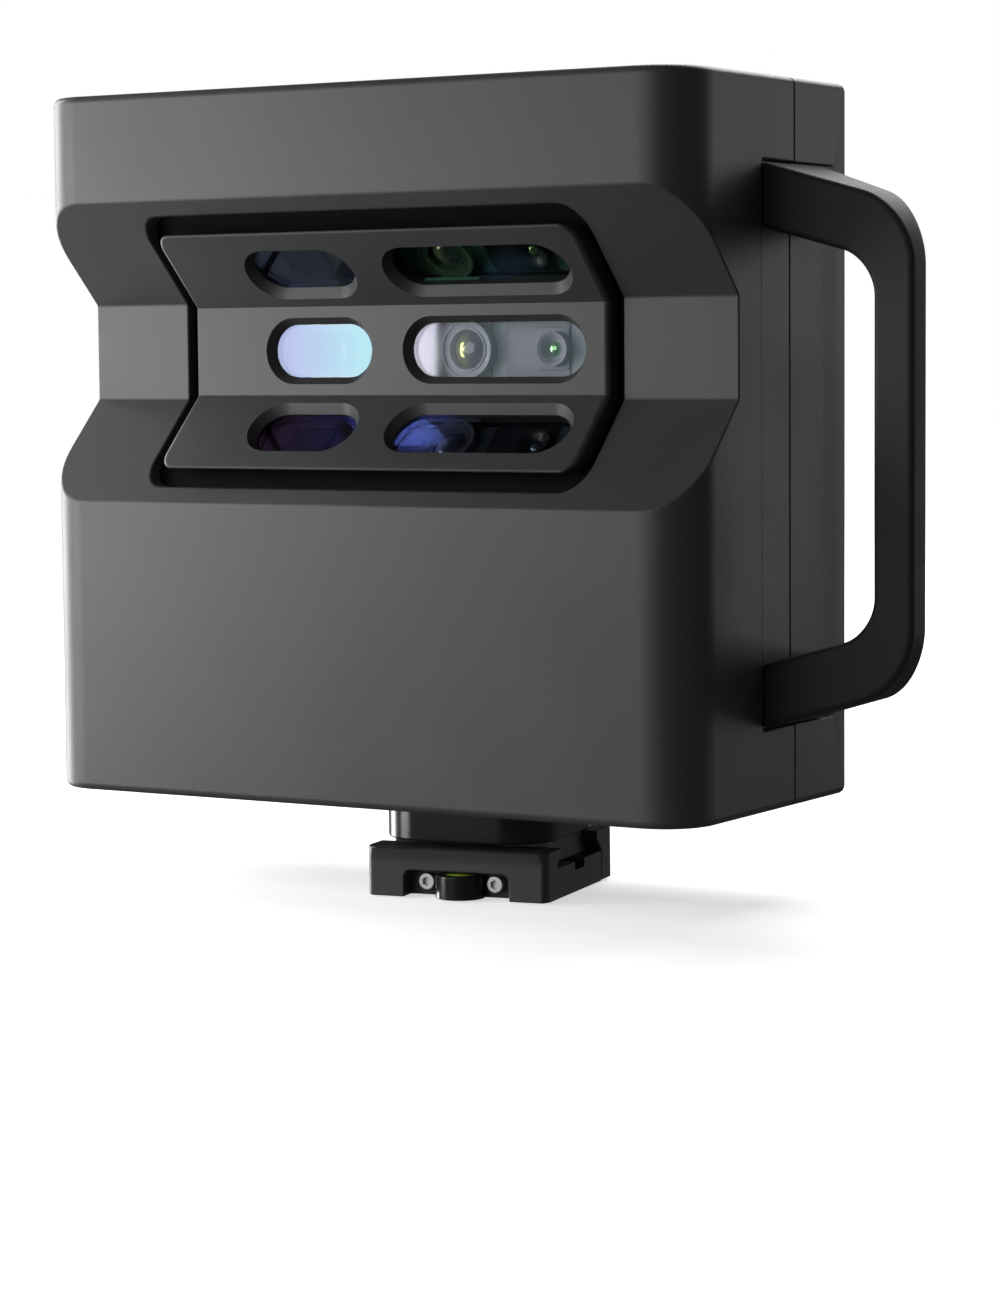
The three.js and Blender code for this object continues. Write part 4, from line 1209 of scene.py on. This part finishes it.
    def shelf(self, tier: str, at: Matrix, look: TierLook) -> None:
        """The carrier that shows between and beside the two face plates."""
        front = -self.plate_face - 0.3
        left, right, tall = self.carrier
        shelf = Workshop.rounded_block(
            f"sensor_shelf_{tier}",
            (left, -tall, front - 0.6),
            (right, tall, front),
            Axis.Z,
            0.5,
            3,
        )
        for left, right in (self.depth_plate, self.colour_plate):
            low, high = (left - 0.15, -10, front - 2), (right + 0.15, 10, front + 1)
            Workshop.carve(shelf, Workshop.block("plate_room", low, high))
        Workshop.finish(Workshop.place(shelf, at), look.shelf, "head", "lens")

    def colour_camera(self, tier: str, at: Matrix, look: TierLook) -> None:
        """The small-lens camera: a square block and rings that step down to a bright lens."""
        x, ring, glass = self.colour_camera_at
        body = self.plate(f"colour_camera_body_{tier}", self.colour_plate)
        front = -self.plate_face
        left, right, tall = self.colour_block
        block = Workshop.rounded_block(
            "block", (left, -tall, front - 1), (right, tall, front + 0.5), Axis.Z, 1.0, 4
        )
        Workshop.soften(block, 0.25)
        Workshop.carve(body, block, how="UNION")
        self.barrel(body, x, ring, self.colour_steps)
        Workshop.place(body, at)
        Workshop.finish(body, look.plate, "head", "lens", [f"colour_camera_{tier}"])
        lens = self.lens(f"colour_lens_{tier}", x, glass, -self.lens_face - 2.4)
        Workshop.finish(Workshop.place(lens, at), look.small_lens, "head", "lens", smooth=60)

    def projector(self, tier: str, at: Matrix, look: TierLook, side: int) -> None:
        """The pattern projector: a framed diffuser with its emitter, and a bright polished bar
        along the edge where a highlight falls, a painted highlight.

        Args:
            tier: The tier's name.
            at: The frame of its face.
            look: Its finishes.
            side: 1 for the upper tier, 0 for the middle and -1 for the lower.
        """
        x, half, tall = self.projector_at
        front = -self.emitter_face - 0.05
        body = Workshop.rounded_block(
            f"projector_body_{tier}",
            (x - half, -tall, 1 - self.bench_face),
            (x + half, tall, front),
            Axis.Z,
            0.8,
            4,
        )
        Workshop.terrace(body, faces_front, [(0.3, 0), (0.1, -0.4), (0.3, 0), (0.1, 0.15)])
        Workshop.place(body, at)
        Workshop.finish(body, look.emitter, "head", "emitter", [f"pattern_projector_{tier}"])
        wide, high_half = self.diffuser_half
        plate = Workshop.rounded_block(
            f"diffuser_{tier}",
            (x - wide, -high_half, front - 1.9),
            (x + wide, high_half, front - 1.2),
            Axis.Z,
            8.5,
            12,
        )
        room = (x - half - 0.1, -tall - 0.1, front - 3), (x + half + 0.1, tall + 0.1, front)
        Workshop.carve(plate, Workshop.block("emitter_room", *room))
        Workshop.finish(Workshop.place(plate, at), look.diffuser, "head", "emitter")
        # Painted highlight: a bright bar where the highlight falls, vertical at the right in the
        # middle tier and along the lower or upper edge in the others.
        low, high = (x + 4.7, -2.7), (x + 6.5, 2.7)
        if side:
            low, high = (x - 4.5, -side * 5.0 - 0.2), (x + 6.0, -side * 5.0 + 0.2)
        bar = Workshop.rounded_block(
            f"painted_highlight_bar_{tier}", (*low, front - 0.4), (*high, front + 0.1), Axis.Z, 0.15, 3
        )
        Workshop.finish(Workshop.place(bar, at), PAINTED_HIGHLIGHT_BAR, "head", "emitter")


# ------------------------------------------------------------------ handle


@dataclass
class Handle:
    """The tapered carrying handle: deep at its two roots, slim at the grip."""

    outer_root: float = 82.5
    outer_tip: float = 68.9
    outer_corner: float = 17.0
    inner_root: float = 63.5
    inner_tip: float = 53.6
    inner_corner: float = 10.5
    grip: float = 12.6
    grip_back: float = 10.25
    slices: int = 14
    edge: float = 2.0

    def build(self) -> None:
        """Models the handle from a tapered block."""
        low, high = box_of("handle")
        middle = (low.z + high.z) / 2
        reach = (low.y - 3, high.y + 3)

        def wedge(name: str, x0: float, x1: float, root: float, tip: float, corner: float) -> Piece:
            """A block that narrows towards its outer end, with that end's corners rounded."""
            piece = Workshop.block(
                name, (x0, reach[0], middle - root), (x1, reach[1], middle + root)
            )
            Workshop.stretch(
                piece, lambda v: near(v.x, x1 * MM), (1, 1, tip / root), (x1, 0, middle)
            )
            return Workshop.bevel(
                piece,
                lambda a, b: near(a.x, x1 * MM) and near(a.x, b.x) and near(a.z, b.z),
                corner,
                14,
            )

        handle = wedge(
            "carry_handle", low.x, high.x, self.outer_root, self.outer_tip, self.outer_corner
        )
        slope = (self.inner_root - self.inner_tip) / (high.x - self.grip - low.x)
        start = low.x - 5
        gap = wedge(
            "finger_gap",
            start,
            high.x - self.grip,
            self.inner_root + 5 * slope,
            self.inner_tip,
            self.inner_corner,
        )
        Workshop.stretch(gap, lambda v: True, (1, 1.5, 1), (0, 0, middle))
        Workshop.carve(handle, gap)
        Workshop.carve(handle, self.plan(low, high), how="INTERSECT")
        Workshop.merge_flat(handle)
        Workshop.soften(handle, self.edge, sharper_than=32, segments=4)
        Workshop.finish(handle, HANDLE, "head", "handle", ["handle"])

    def plan(self, low: Vector, high: Vector) -> Piece:
        """The handle's outline from above: straight in front, swept in an S behind."""
        piece = Workshop.block("plan", (low.x - 1, low.y, low.z - 5), (high.x, high.y, high.z + 5))
        start = Vector((high.x, low.y + self.grip_back))
        end = Vector((low.x + 1.3, high.y))
        handles = (Vector((high.x - 9.3, start.y + 4)), Vector((end.x + 22, high.y - 4)))
        for i in range(self.slices + 1):
            t = i / self.slices
            point = (
                (1 - t) ** 3 * start
                + 3 * (1 - t) ** 2 * t * handles[0]
                + 3 * (1 - t) * t**2 * handles[1]
                + t**3 * end
            )
            if 0 < i:
                Workshop.slice_at(piece, (point.x, 0, 0), Axis.X)
            Workshop.shift(
                piece,
                lambda v, p=point: near(v.x, p.x * MM) and near(v.y, high.y * MM),
                (0, point.y - high.y, 0),
            )
        return piece


# ------------------------------------------------------------------ side panel


@dataclass
class SidePanel:
    """The display, the power button and the charging socket on the left side."""

    button_radius: float = 6.0
    flange_radius: float = 7.5
    flange_thickness: float = 1.2
    button_reach: float = 5.3
    socket_radius: float = 5.0
    coils: int = 3
    wire: float = 0.3

    def build(self) -> None:
        """Models the three controls and the spring behind the button."""
        low, high = box_of("display_window")
        pane = Workshop.rounded_block("display_pane", low, high, Axis.X, 1.3, 5)
        Workshop.soften(pane, 0.2, sharper_than=60)
        Workshop.finish(pane, DISPLAY_GLASS, "head", "glass", ["display_window"])
        self.button()
        self.spring()
        self.socket()

    def button(self) -> None:
        """A round button with a dished face and a retaining flange."""
        low, high = box_of("power_button")
        _, y, z = middle_of("power_button")
        flange = low.x + self.button_reach
        button = Workshop.bar(
            "button_cap", self.button_radius, (low.x, y, z), (flange, y, z), sides=64
        )
        Workshop.bevel(button, rim_at(Axis.X, low.x), 0.7, 4)
        Workshop.terrace(
            button,
            lambda c, n: n.x < -0.999,
            [(0.6, 0), (0.3, -0.15), (1.2, -0.12), (1.2, -0.07), (1.2, -0.03)],
        )
        ring_end = (flange + self.flange_thickness, y, z)
        ring = Workshop.bar("flange", self.flange_radius, (flange, y, z), ring_end, sides=48)
        stem = Workshop.bar("stem", 2, (flange, y, z), (high.x, y, z), sides=24)
        Workshop.carve(button, ring, stem, how="UNION")
        Workshop.finish(button, BEZEL, "power_button", "bezel", ["power_button"], smooth=40)

    def spring(self) -> None:
        """The button's return spring, which shortens as the button goes in."""
        low, high = box_of("button_spring")
        centre = middle_of("button_spring")
        coil_radius = (high.z - low.z) / 2 - self.wire
        length = high.x - low.x
        bpy.ops.object.select_all(action="DESELECT")
        bpy.ops.mesh.primitive_circle_add(
            vertices=12,
            radius=self.wire * MM,
            location=(0, 0, coil_radius * MM),
            rotation=(math.pi / 2, 0, 0),
        )
        spring = Workshop.settle("return_spring")
        coil = spring.modifiers.new("coil", "SCREW")
        coil.axis = "X"
        coil.iterations = self.coils
        coil.screw_offset = (length - 2 * self.wire) / self.coils * MM
        coil.steps = coil.render_steps = 36
        bpy.ops.object.modifier_apply(modifier=coil.name)
        bpy.ops.object.mode_set(mode="EDIT")
        bpy.ops.mesh.select_all(action="SELECT")
        bpy.ops.mesh.fill_holes(sides=0)
        bpy.ops.mesh.normals_make_consistent(inside=False)
        bpy.ops.object.mode_set(mode="OBJECT")
        start = min(corner[0] for corner in spring.bound_box) / MM
        move = Vector((low.x - start, centre.y, centre.z)) * MM
        Workshop.place(spring, Matrix.Translation(move))
        Workshop.finish(spring, STEEL, "head", "steel", ["button_spring"])
        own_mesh(spring)

    def socket(self) -> None:
        """A round charging socket with its centre pin."""
        low, high = box_of("charge_port")
        _, y, z = middle_of("charge_port")
        socket = Workshop.bar(
            "charging_socket", self.socket_radius, (low.x, y, z), (high.x, y, z), sides=56
        )
        Workshop.bevel(socket, rim_at(Axis.X, low.x), 0.4, 3)
        Workshop.terrace(
            socket, lambda c, n: n.x < -0.999, [(1.2, 0), (0.15, -8), (2.2, 0), (0.05, 5.6)]
        )
        Workshop.finish(socket, SEAL, "head", "seal", ["charge_port"])


# ------------------------------------------------------------------ hub and clamp


@dataclass
class Clamp:
    """The quick-release clamp and the hub above it, made square and then turned."""

    turn: float = math.radians(10)
    hub_half: float = 27.5
    hub_corner: float = 16.0
    half: float = 29.5
    front: float = -28.5
    back: float = 20.0
    floor: float = 9.5
    lip: float = 15.2
    guide_x: float = 11.1
    guide_z: float = 4.4
    guide_bore: float = 1.8
    screw_z: float = 6.4
    screw_bore: float = 2.3
    recess_back: float = -22.0
    level_y: float = -24.5
    level_radius: float = 7.6
    jaw_top: float = 16.2
    ribs: int = 24

    @property
    def frame(self) -> Matrix:
        """The clamp's own frame."""
        return Matrix.Rotation(self.turn, 4, "Z")

    def dress(
        self,
        piece: Piece,
        finish: Finish | CoatedGlass,
        body: str,
        slot: str,
        nodes: Sequence[str] = (),
        smooth: float = 30,
    ) -> None:
        """Turns a piece into place and finishes it."""
        Workshop.place(piece, self.frame)
        Workshop.finish(piece, finish, body, slot, nodes, smooth)

    def build(self) -> None:
        """Models the hub, the clamp's two jaws, its screws, level and knob."""
        self.hub()
        self.body()
        self.tongue()
        self.jaw()
        self.knob()
        self.level()
        for side, name in ((-1, "left"), (1, "right")):
            self.guide_screw(side * self.guide_x, name)

    def hub(self) -> None:
        """The glossy puck between clamp and head."""
        low, high = box_of("hub")
        half = self.hub_half
        hub = Workshop.rounded_block(
            "hub_puck", (-half, -half, low.z), (half, half, high.z), Axis.Z, self.hub_corner, 20
        )
        Workshop.bevel(hub, rim_at(Axis.Z, low.z, high.z), 0.7, 3)
        bore = Workshop.bar("bore", 8.3, (0, 0, low.z - 1), (0, 0, high.z + 1), sides=48)
        flange = Workshop.bar("flange", 10.3, (0, 0, low.z - 1), (0, 0, low.z + 3.3), sides=48)
        Workshop.carve(hub, bore, flange)
        for side in (-1, 1):
            hole = Workshop.bar(
                "hole", 2, (side * 14.5, 0, low.z - 1), (side * 14.5, 0, low.z + 7.3), sides=20
            )
            Workshop.carve(hub, hole)
        self.dress(hub, HUB_GLOSS, "base", "anodised", ["hub"])

    def body(self) -> None:
        """The fixed jaw and floor, built up in steps from a block."""
        body = Workshop.block(
            "clamp_base", (-self.half, self.front, 0), (self.half, self.back, self.floor)
        )
        Workshop.slice_at(body, (0, -19.3, 0), Axis.Y)

        def top(c: Vector, n: Vector) -> bool:
            """The uppermost face of the fixed jaw."""
            return n.z > 0.9 and c.y < -17 * MM and c.z > (self.floor - 0.1) * MM

        inner = -19.3
        outer = self.front
        height = self.floor
        for rise, inwards, outwards in ((1.0, 0, 0), (1.5, 1.5, 0), (1.9, 1.9, 0.6), (1.3, 0, 0.3)):
            Workshop.extrude(
                body, lambda c, n, z=height: top(c, n) and near(c.z, z * MM), (0, 0, rise)
            )
            height += rise
            for edge, move in ((inner, inwards), (outer, -outwards)):
                Workshop.shift(
                    body,
                    lambda v, y=edge, z=height: near(v.y, y * MM) and near(v.z, z * MM),
                    (0, move, 0),
                )
            inner += inwards
            outer -= outwards
        trim = Workshop.block(
            "trim", (-self.half, self.front - 0.9, -1), (self.half, 40, self.lip + 2)
        )
        Workshop.bevel(
            trim,
            lambda a, b: near(a.x, b.x) and near(a.y, b.y) and a.y < 0,
            4.5,
            10,
        )
        Workshop.carve(body, trim, how="INTERSECT")
        recess = Workshop.block("recess", (-17, self.front - 2, -2), (17, self.recess_back, 8.2))
        Workshop.bevel(
            recess, lambda a, b: near(a.x, b.x) and near(a.z, b.z) and a.z > 5 * MM, 2.2, 6
        )
        Workshop.carve(body, recess)
        Workshop.soften(body, 0.45, sharper_than=38)
        tools = [Workshop.bar("thread", 6.4, (0, 0, -2), (0, 0, 6.5), sides=40)]
        tools += self.bores(7.7, -23, 30)
        for side in (-1, 1):
            near_x, far_x = sorted((side * 13.5, side * (self.half + 1)))
            tools.append(
                Workshop.block("groove", (near_x, -4.2, 6.8), (far_x, 4.2, self.floor + 1))
            )
        Workshop.carve(body, *tools)
        self.dress(body, ANODISED, "clamp", "anodised", ["clamp_body"])

    def bores(self, screw_from: float, guide_from: float, to: float) -> list[Piece]:
        """The cutters for the jaw screw and the two guide screws, each between two depths."""
        z = self.screw_z
        cutters = [Workshop.bar("bore", self.screw_bore, (0, screw_from, z), (0, to, z), 24)]
        z = self.guide_z
        for x in (-self.guide_x, self.guide_x):
            cutters.append(
                Workshop.bar("bore", self.guide_bore, (x, guide_from, z), (x, to, z), 24)
            )
        return cutters

    def tongue(self) -> None:
        """The tongue in the recess that holds the level, with its cup."""
        y, foot, top = self.level_y, 0.05, 7.2
        wall_y = self.recess_back - 0.02
        tongue = Workshop.bar("level_tongue", self.level_radius, (0, y, foot), (0, y, top), 56)
        Workshop.carve(tongue, Workshop.block("wall", (-9, wall_y, -1), (9, 0, 9)))
        root = Workshop.block("root", (-6, y, foot), (6, wall_y, top))
        Workshop.carve(tongue, root, how="UNION")
        Workshop.soften(tongue, 0.4, sharper_than=50)
        Workshop.carve(tongue, Workshop.bar("cup", 5.0, (0, y, 3.5), (0, y, 12), sides=48))
        self.dress(tongue, HUB_GLOSS, "clamp", "anodised")

    def jaw(self) -> None:
        """The moving jaw behind the channel, with its overhanging lip."""
        foot, front, back, shoulder = 0.2, 20.3, 28.5, 9.8
        jaw = Workshop.block("moving_jaw", (-self.half, front, foot), (self.half, back, shoulder))
        height, inner = shoulder, front
        for rise, inwards in ((0.7, 1.0), (3.4, 3.4), (self.jaw_top - 13.9, 0)):
            Workshop.extrude(
                jaw, lambda c, n, z=height: faces_front(c, n) and near(c.z, z * MM), (0, 0, rise)
            )
            height += rise
            Workshop.shift(
                jaw,
                lambda v, y=inner, z=height: near(v.y, y * MM) and near(v.z, z * MM),
                (0, -inwards, 0),
            )
            inner -= inwards
        Workshop.soften(jaw, 0.5, sharper_than=38)
        Workshop.carve(jaw, *self.bores(15, 15, 32))
        self.dress(jaw, ANODISED, "clamp_jaw", "anodised", ["clamp_jaw"])

    def knob(self) -> None:
        """The knurled thumb screw behind the moving jaw."""
        z, front, back, ribs = self.screw_z, 29.0, 42.0, self.ribs
        knob = Workshop.bar("thumb_knob", 5.6, (0, front, z), (0, back, z), sides=2 * ribs)
        centre = Vector((0, (front + back) / 2, z)) * MM

        def is_rib(c: Vector, n: Vector) -> bool:
            """Every second face round the rim."""
            turn = math.atan2(c.z - centre.z, c.x) / (2 * math.pi) * 2 * ribs
            return abs(n.y) < 0.1 and int(math.floor(turn + 1000)) % 2 == 0

        Workshop.select_faces(knob, is_rib)
        bpy.ops.mesh.extrude_faces_move(TRANSFORM_OT_shrink_fatten={"value": 0.35 * MM})
        bpy.ops.object.mode_set(mode="OBJECT")
        cap = Vector((0, back, z)) * MM
        Workshop.terrace(
            knob,
            lambda c, n: n.y > 0.999 and (c - cap).length < 0.5 * MM,
            [(0.8, 0.0), (0.5, -0.5), (1.5, 0)],
        )
        shank = Workshop.bar("shank", 2, (0, 8, z), (0, front + 1, z), sides=32)
        Workshop.carve(knob, shank, how="UNION")
        self.dress(knob, ANODISED, "clamp_knob", "anodised", ["clamp_knob"])

    def level(self) -> None:
        """The circular bubble level in the tongue: a ring and the fluid under a domed top."""
        y = self.level_y
        fluid = Workshop.bar("level_vial", 4.7, (0, y, 3.9), (0, y, 7.0), sides=56)
        Workshop.terrace(fluid, faces_front, [(1.0, 0.28), (1.0, 0.18), (1.0, 0.1), (0.8, 0.04)])
        self.dress(fluid, VIAL_FLUID, "clamp", "vial", ["bubble_level"], smooth=50)
        mark = Workshop.bar("level_ring", 2.4, (0, y, 7.35), (0, y, 7.6), sides=48)
        hole = Workshop.bar("hole", 2.1, (0, y, 7), (0, y, 8), sides=48)
        Workshop.carve(mark, hole)
        self.dress(mark, SEAL, "clamp", "seal")

    def guide_screw(self, x: float, name: str) -> None:
        """A socket-head guide screw that runs back to the moving jaw."""
        back = self.recess_back - 0.3
        face = back - 2.5
        z = self.guide_z
        screw = Workshop.bar(f"guide_screw_{name}_fine", 2.6, (x, back, z), (x, face, z), sides=48)
        Workshop.bevel(screw, rim_at(Axis.Y, face), 0.35, 3)
        socket = Workshop.bar("socket", 1.45, (x, face + 2.2, z), (x, face - 1, z), sides=6)
        shank = Workshop.bar("shank", 1.5, (x, back - 1, z), (x, 26.7, z), sides=24)
        Workshop.carve(screw, socket)
        Workshop.carve(screw, shank, how="UNION")
        self.dress(screw, STEEL, "clamp", "steel", [f"guide_screw_{name}"])


# ------------------------------------------------------------------ inner pieces


@dataclass
class InnerPieces:
    """The CAD nodes that keep their own shape, each with its finish."""

    finishes: dict[str, Finish] = field(
        default_factory=lambda: {
            "chassis": ALUMINIUM,
            "optical_bench": ALUMINIUM,
            "bearing_lower": STEEL,
            "bearing_upper": STEEL,
            "spindle": STEEL,
            "pan_gear": BRASS,
            "motor_pinion": BRASS,
            "pan_motor": ANODISED,
            "main_board": BOARD,
            "side_board": BOARD,
            "display_panel": SCREEN,
            "battery_pack": BATTERY,
            "position_antenna": CERAMIC,
            "handle_screw_upper": STEEL,
            "handle_screw_lower": STEEL,
            "dovetail_plate": ANODISED,
            "plate_screw_left": STEEL,
            "plate_screw_right": STEEL,
            "stop_pin_left": STEEL,
            "stop_pin_right": STEEL,
            "thread_bushing": BRASS,
        }
    )

    def build(self) -> None:
        """Paints every carried-over node."""
        for node, finish in self.finishes.items():
            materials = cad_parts[node].data.materials
            materials.clear()
            materials.append(finish.material())
            LOG.info("%s: CAD shape in %s", node, finish.name)


# ------------------------------------------------------------------ studio


@dataclass
class Softbox:
    """A rectangular light that faces a point. Its lengths are in metres, its power in watts."""

    name: str
    place: Point
    width: float
    height: float
    power: float
    aim: Point = (0, 0, 0.14)

    def build(self) -> None:
        """Adds the light."""
        light = bpy.data.lights.new(self.name, "AREA")
        light.shape = "RECTANGLE"
        light.size = self.width
        light.size_y = self.height
        light.energy = self.power
        lamp = bpy.data.objects.new(self.name, light)
        lamp.location = self.place
        aim = Vector(self.aim) - lamp.location
        lamp.rotation_euler = aim.to_track_quat("-Z", "Y").to_euler()
        bpy.context.scene.collection.objects.link(lamp)


@dataclass
class Studio:
    """The floor, the lights, the surroundings and the camera. Its lengths are in metres."""

    azimuth: float = math.radians(31.17)
    elevation: float = math.radians(4.85)
    roll: float = math.radians(-0.48)
    eye: Point = (0.5566, -0.9131, 0.1645)
    lens: float = 96.94
    sensor: float = 36.0
    floor_fade: tuple[float, float, float, float] = (0.3, 0.9, 0.6, 1.0)
    ambient: float = 0.08
    lights: tuple[Softbox, ...] = (
        Softbox("key_left", (-0.42, -0.31, 0.155), 0.2, 0.44, 2.1),
        Softbox("front_fill", (-0.35, -1.45, 0.4), 1.0, 1.0, 5.6),
        Softbox("window_glow", (-0.511, -0.55, 0.19), 0.3, 0.085, 0.75),
        Softbox("rim_left", (-1.1, 0.15, 0.2), 0.4, 1.2, 17),
        Softbox("top_back", (-0.1, 1.3, 1.3), 1.2, 0.8, 25),
        Softbox("fill_right", (1.3, 1.9, 0.35), 1.2, 1.0, 4.5),
    )

    def build(self) -> None:
        """Sets the whole stage."""
        self.floor()
        self.surroundings()
        for light in self.lights:
            light.build()
        self.camera()

    def floor(self) -> None:
        """A plain pale floor under the clamp that fades into the white surroundings."""
        bpy.ops.object.select_all(action="DESELECT")
        bpy.ops.mesh.primitive_plane_add(size=12, location=(0, 0, CAD_BOX[0].z - 0.0004))
        floor = Workshop.settle("floor")
        material = bpy.data.materials.new("pale_floor")
        material.use_nodes = True
        tree = material.node_tree
        shader = tree.nodes["Principled BSDF"]
        shader.inputs["Base Color"].default_value = (0.8, 0.8, 0.8, 1)
        shader.inputs["Roughness"].default_value = 0.9
        shader.inputs["Emission Color"].default_value = (1, 1, 1, 1)
        distance = tree.nodes.new("ShaderNodeVectorMath")
        distance.operation = "LENGTH"
        place = tree.nodes.new("ShaderNodeTexCoord").outputs["Object"]
        tree.links.new(place, distance.inputs[0])
        fade = tree.nodes.new("ShaderNodeMapRange")
        for socket, value in zip(("From Min", "From Max", "To Min", "To Max"), self.floor_fade):
            fade.inputs[socket].default_value = value
        tree.links.new(distance.outputs["Value"], fade.inputs["Value"])
        tree.links.new(fade.outputs["Result"], shader.inputs["Emission Strength"])
        floor.data.materials.append(material)
        floor.visible_glossy = False
        floor.visible_shadow = False
        floor.visible_diffuse = False

    def surroundings(self) -> None:
        """White behind the object, dimmer where it lights and reflects in it."""
        world = bpy.data.worlds.new("studio")
        bpy.context.scene.world = world
        world.use_nodes = True
        tree = world.node_tree
        background = tree.nodes["Background"]
        path = tree.nodes.new("ShaderNodeLightPath")
        white = tree.nodes.new("ShaderNodeMapRange")
        white.inputs["To Min"].default_value = self.ambient
        white.inputs["To Max"].default_value = 1.0
        tree.links.new(path.outputs["Is Camera Ray"], white.inputs["Value"])
        tree.links.new(white.outputs["Result"], background.inputs["Strength"])
        background.inputs["Color"].default_value = (1, 1, 1, 1)

    def camera(self) -> None:
        """The camera in front and to the right, level with the windows."""
        cos_e, sin_e = math.cos(self.elevation), math.sin(self.elevation)
        cos_a, sin_a = math.cos(self.azimuth), math.sin(self.azimuth)
        right = Vector((cos_a, sin_a, 0))
        back = Vector((sin_a * cos_e, -cos_a * cos_e, sin_e))
        up = back.cross(right)
        cos_r, sin_r = math.cos(self.roll), math.sin(self.roll)
        right, up = right * cos_r + up * sin_r, up * cos_r - right * sin_r
        camera = bpy.data.cameras.new("camera")
        camera.lens = self.lens
        camera.sensor_width = self.sensor
        camera.clip_start = 0.05
        camera.clip_end = 50
        stand = bpy.data.objects.new("camera", camera)
        turn = Matrix((right, up, back)).transposed().to_4x4()
        stand.matrix_world = Matrix.Translation(self.eye) @ turn
        bpy.context.scene.collection.objects.link(stand)
        bpy.context.scene.camera = stand


def main() -> None:
    """Builds the scanner's pieces and the studio in order."""
    logging.basicConfig(level=logging.INFO, format="%(message)s")
    low, _ = box_of("front_housing")
    bezel_low, bezel_high = box_of("window_bezel")
    trench = Trench(front=low.y, middle=(bezel_low.z + bezel_high.z) / 2)
    for assembly in (
        Casing(trench),
        WindowModule(trench),
        Handle(),
        SidePanel(),
        Clamp(),
        InnerPieces(),
        Studio(),
    ):
        assembly.build()
        LOG.info("built %s", type(assembly).__name__)
    bpy.context.scene.view_settings.view_transform = "Standard"


if __name__ == "__main__":
    main()
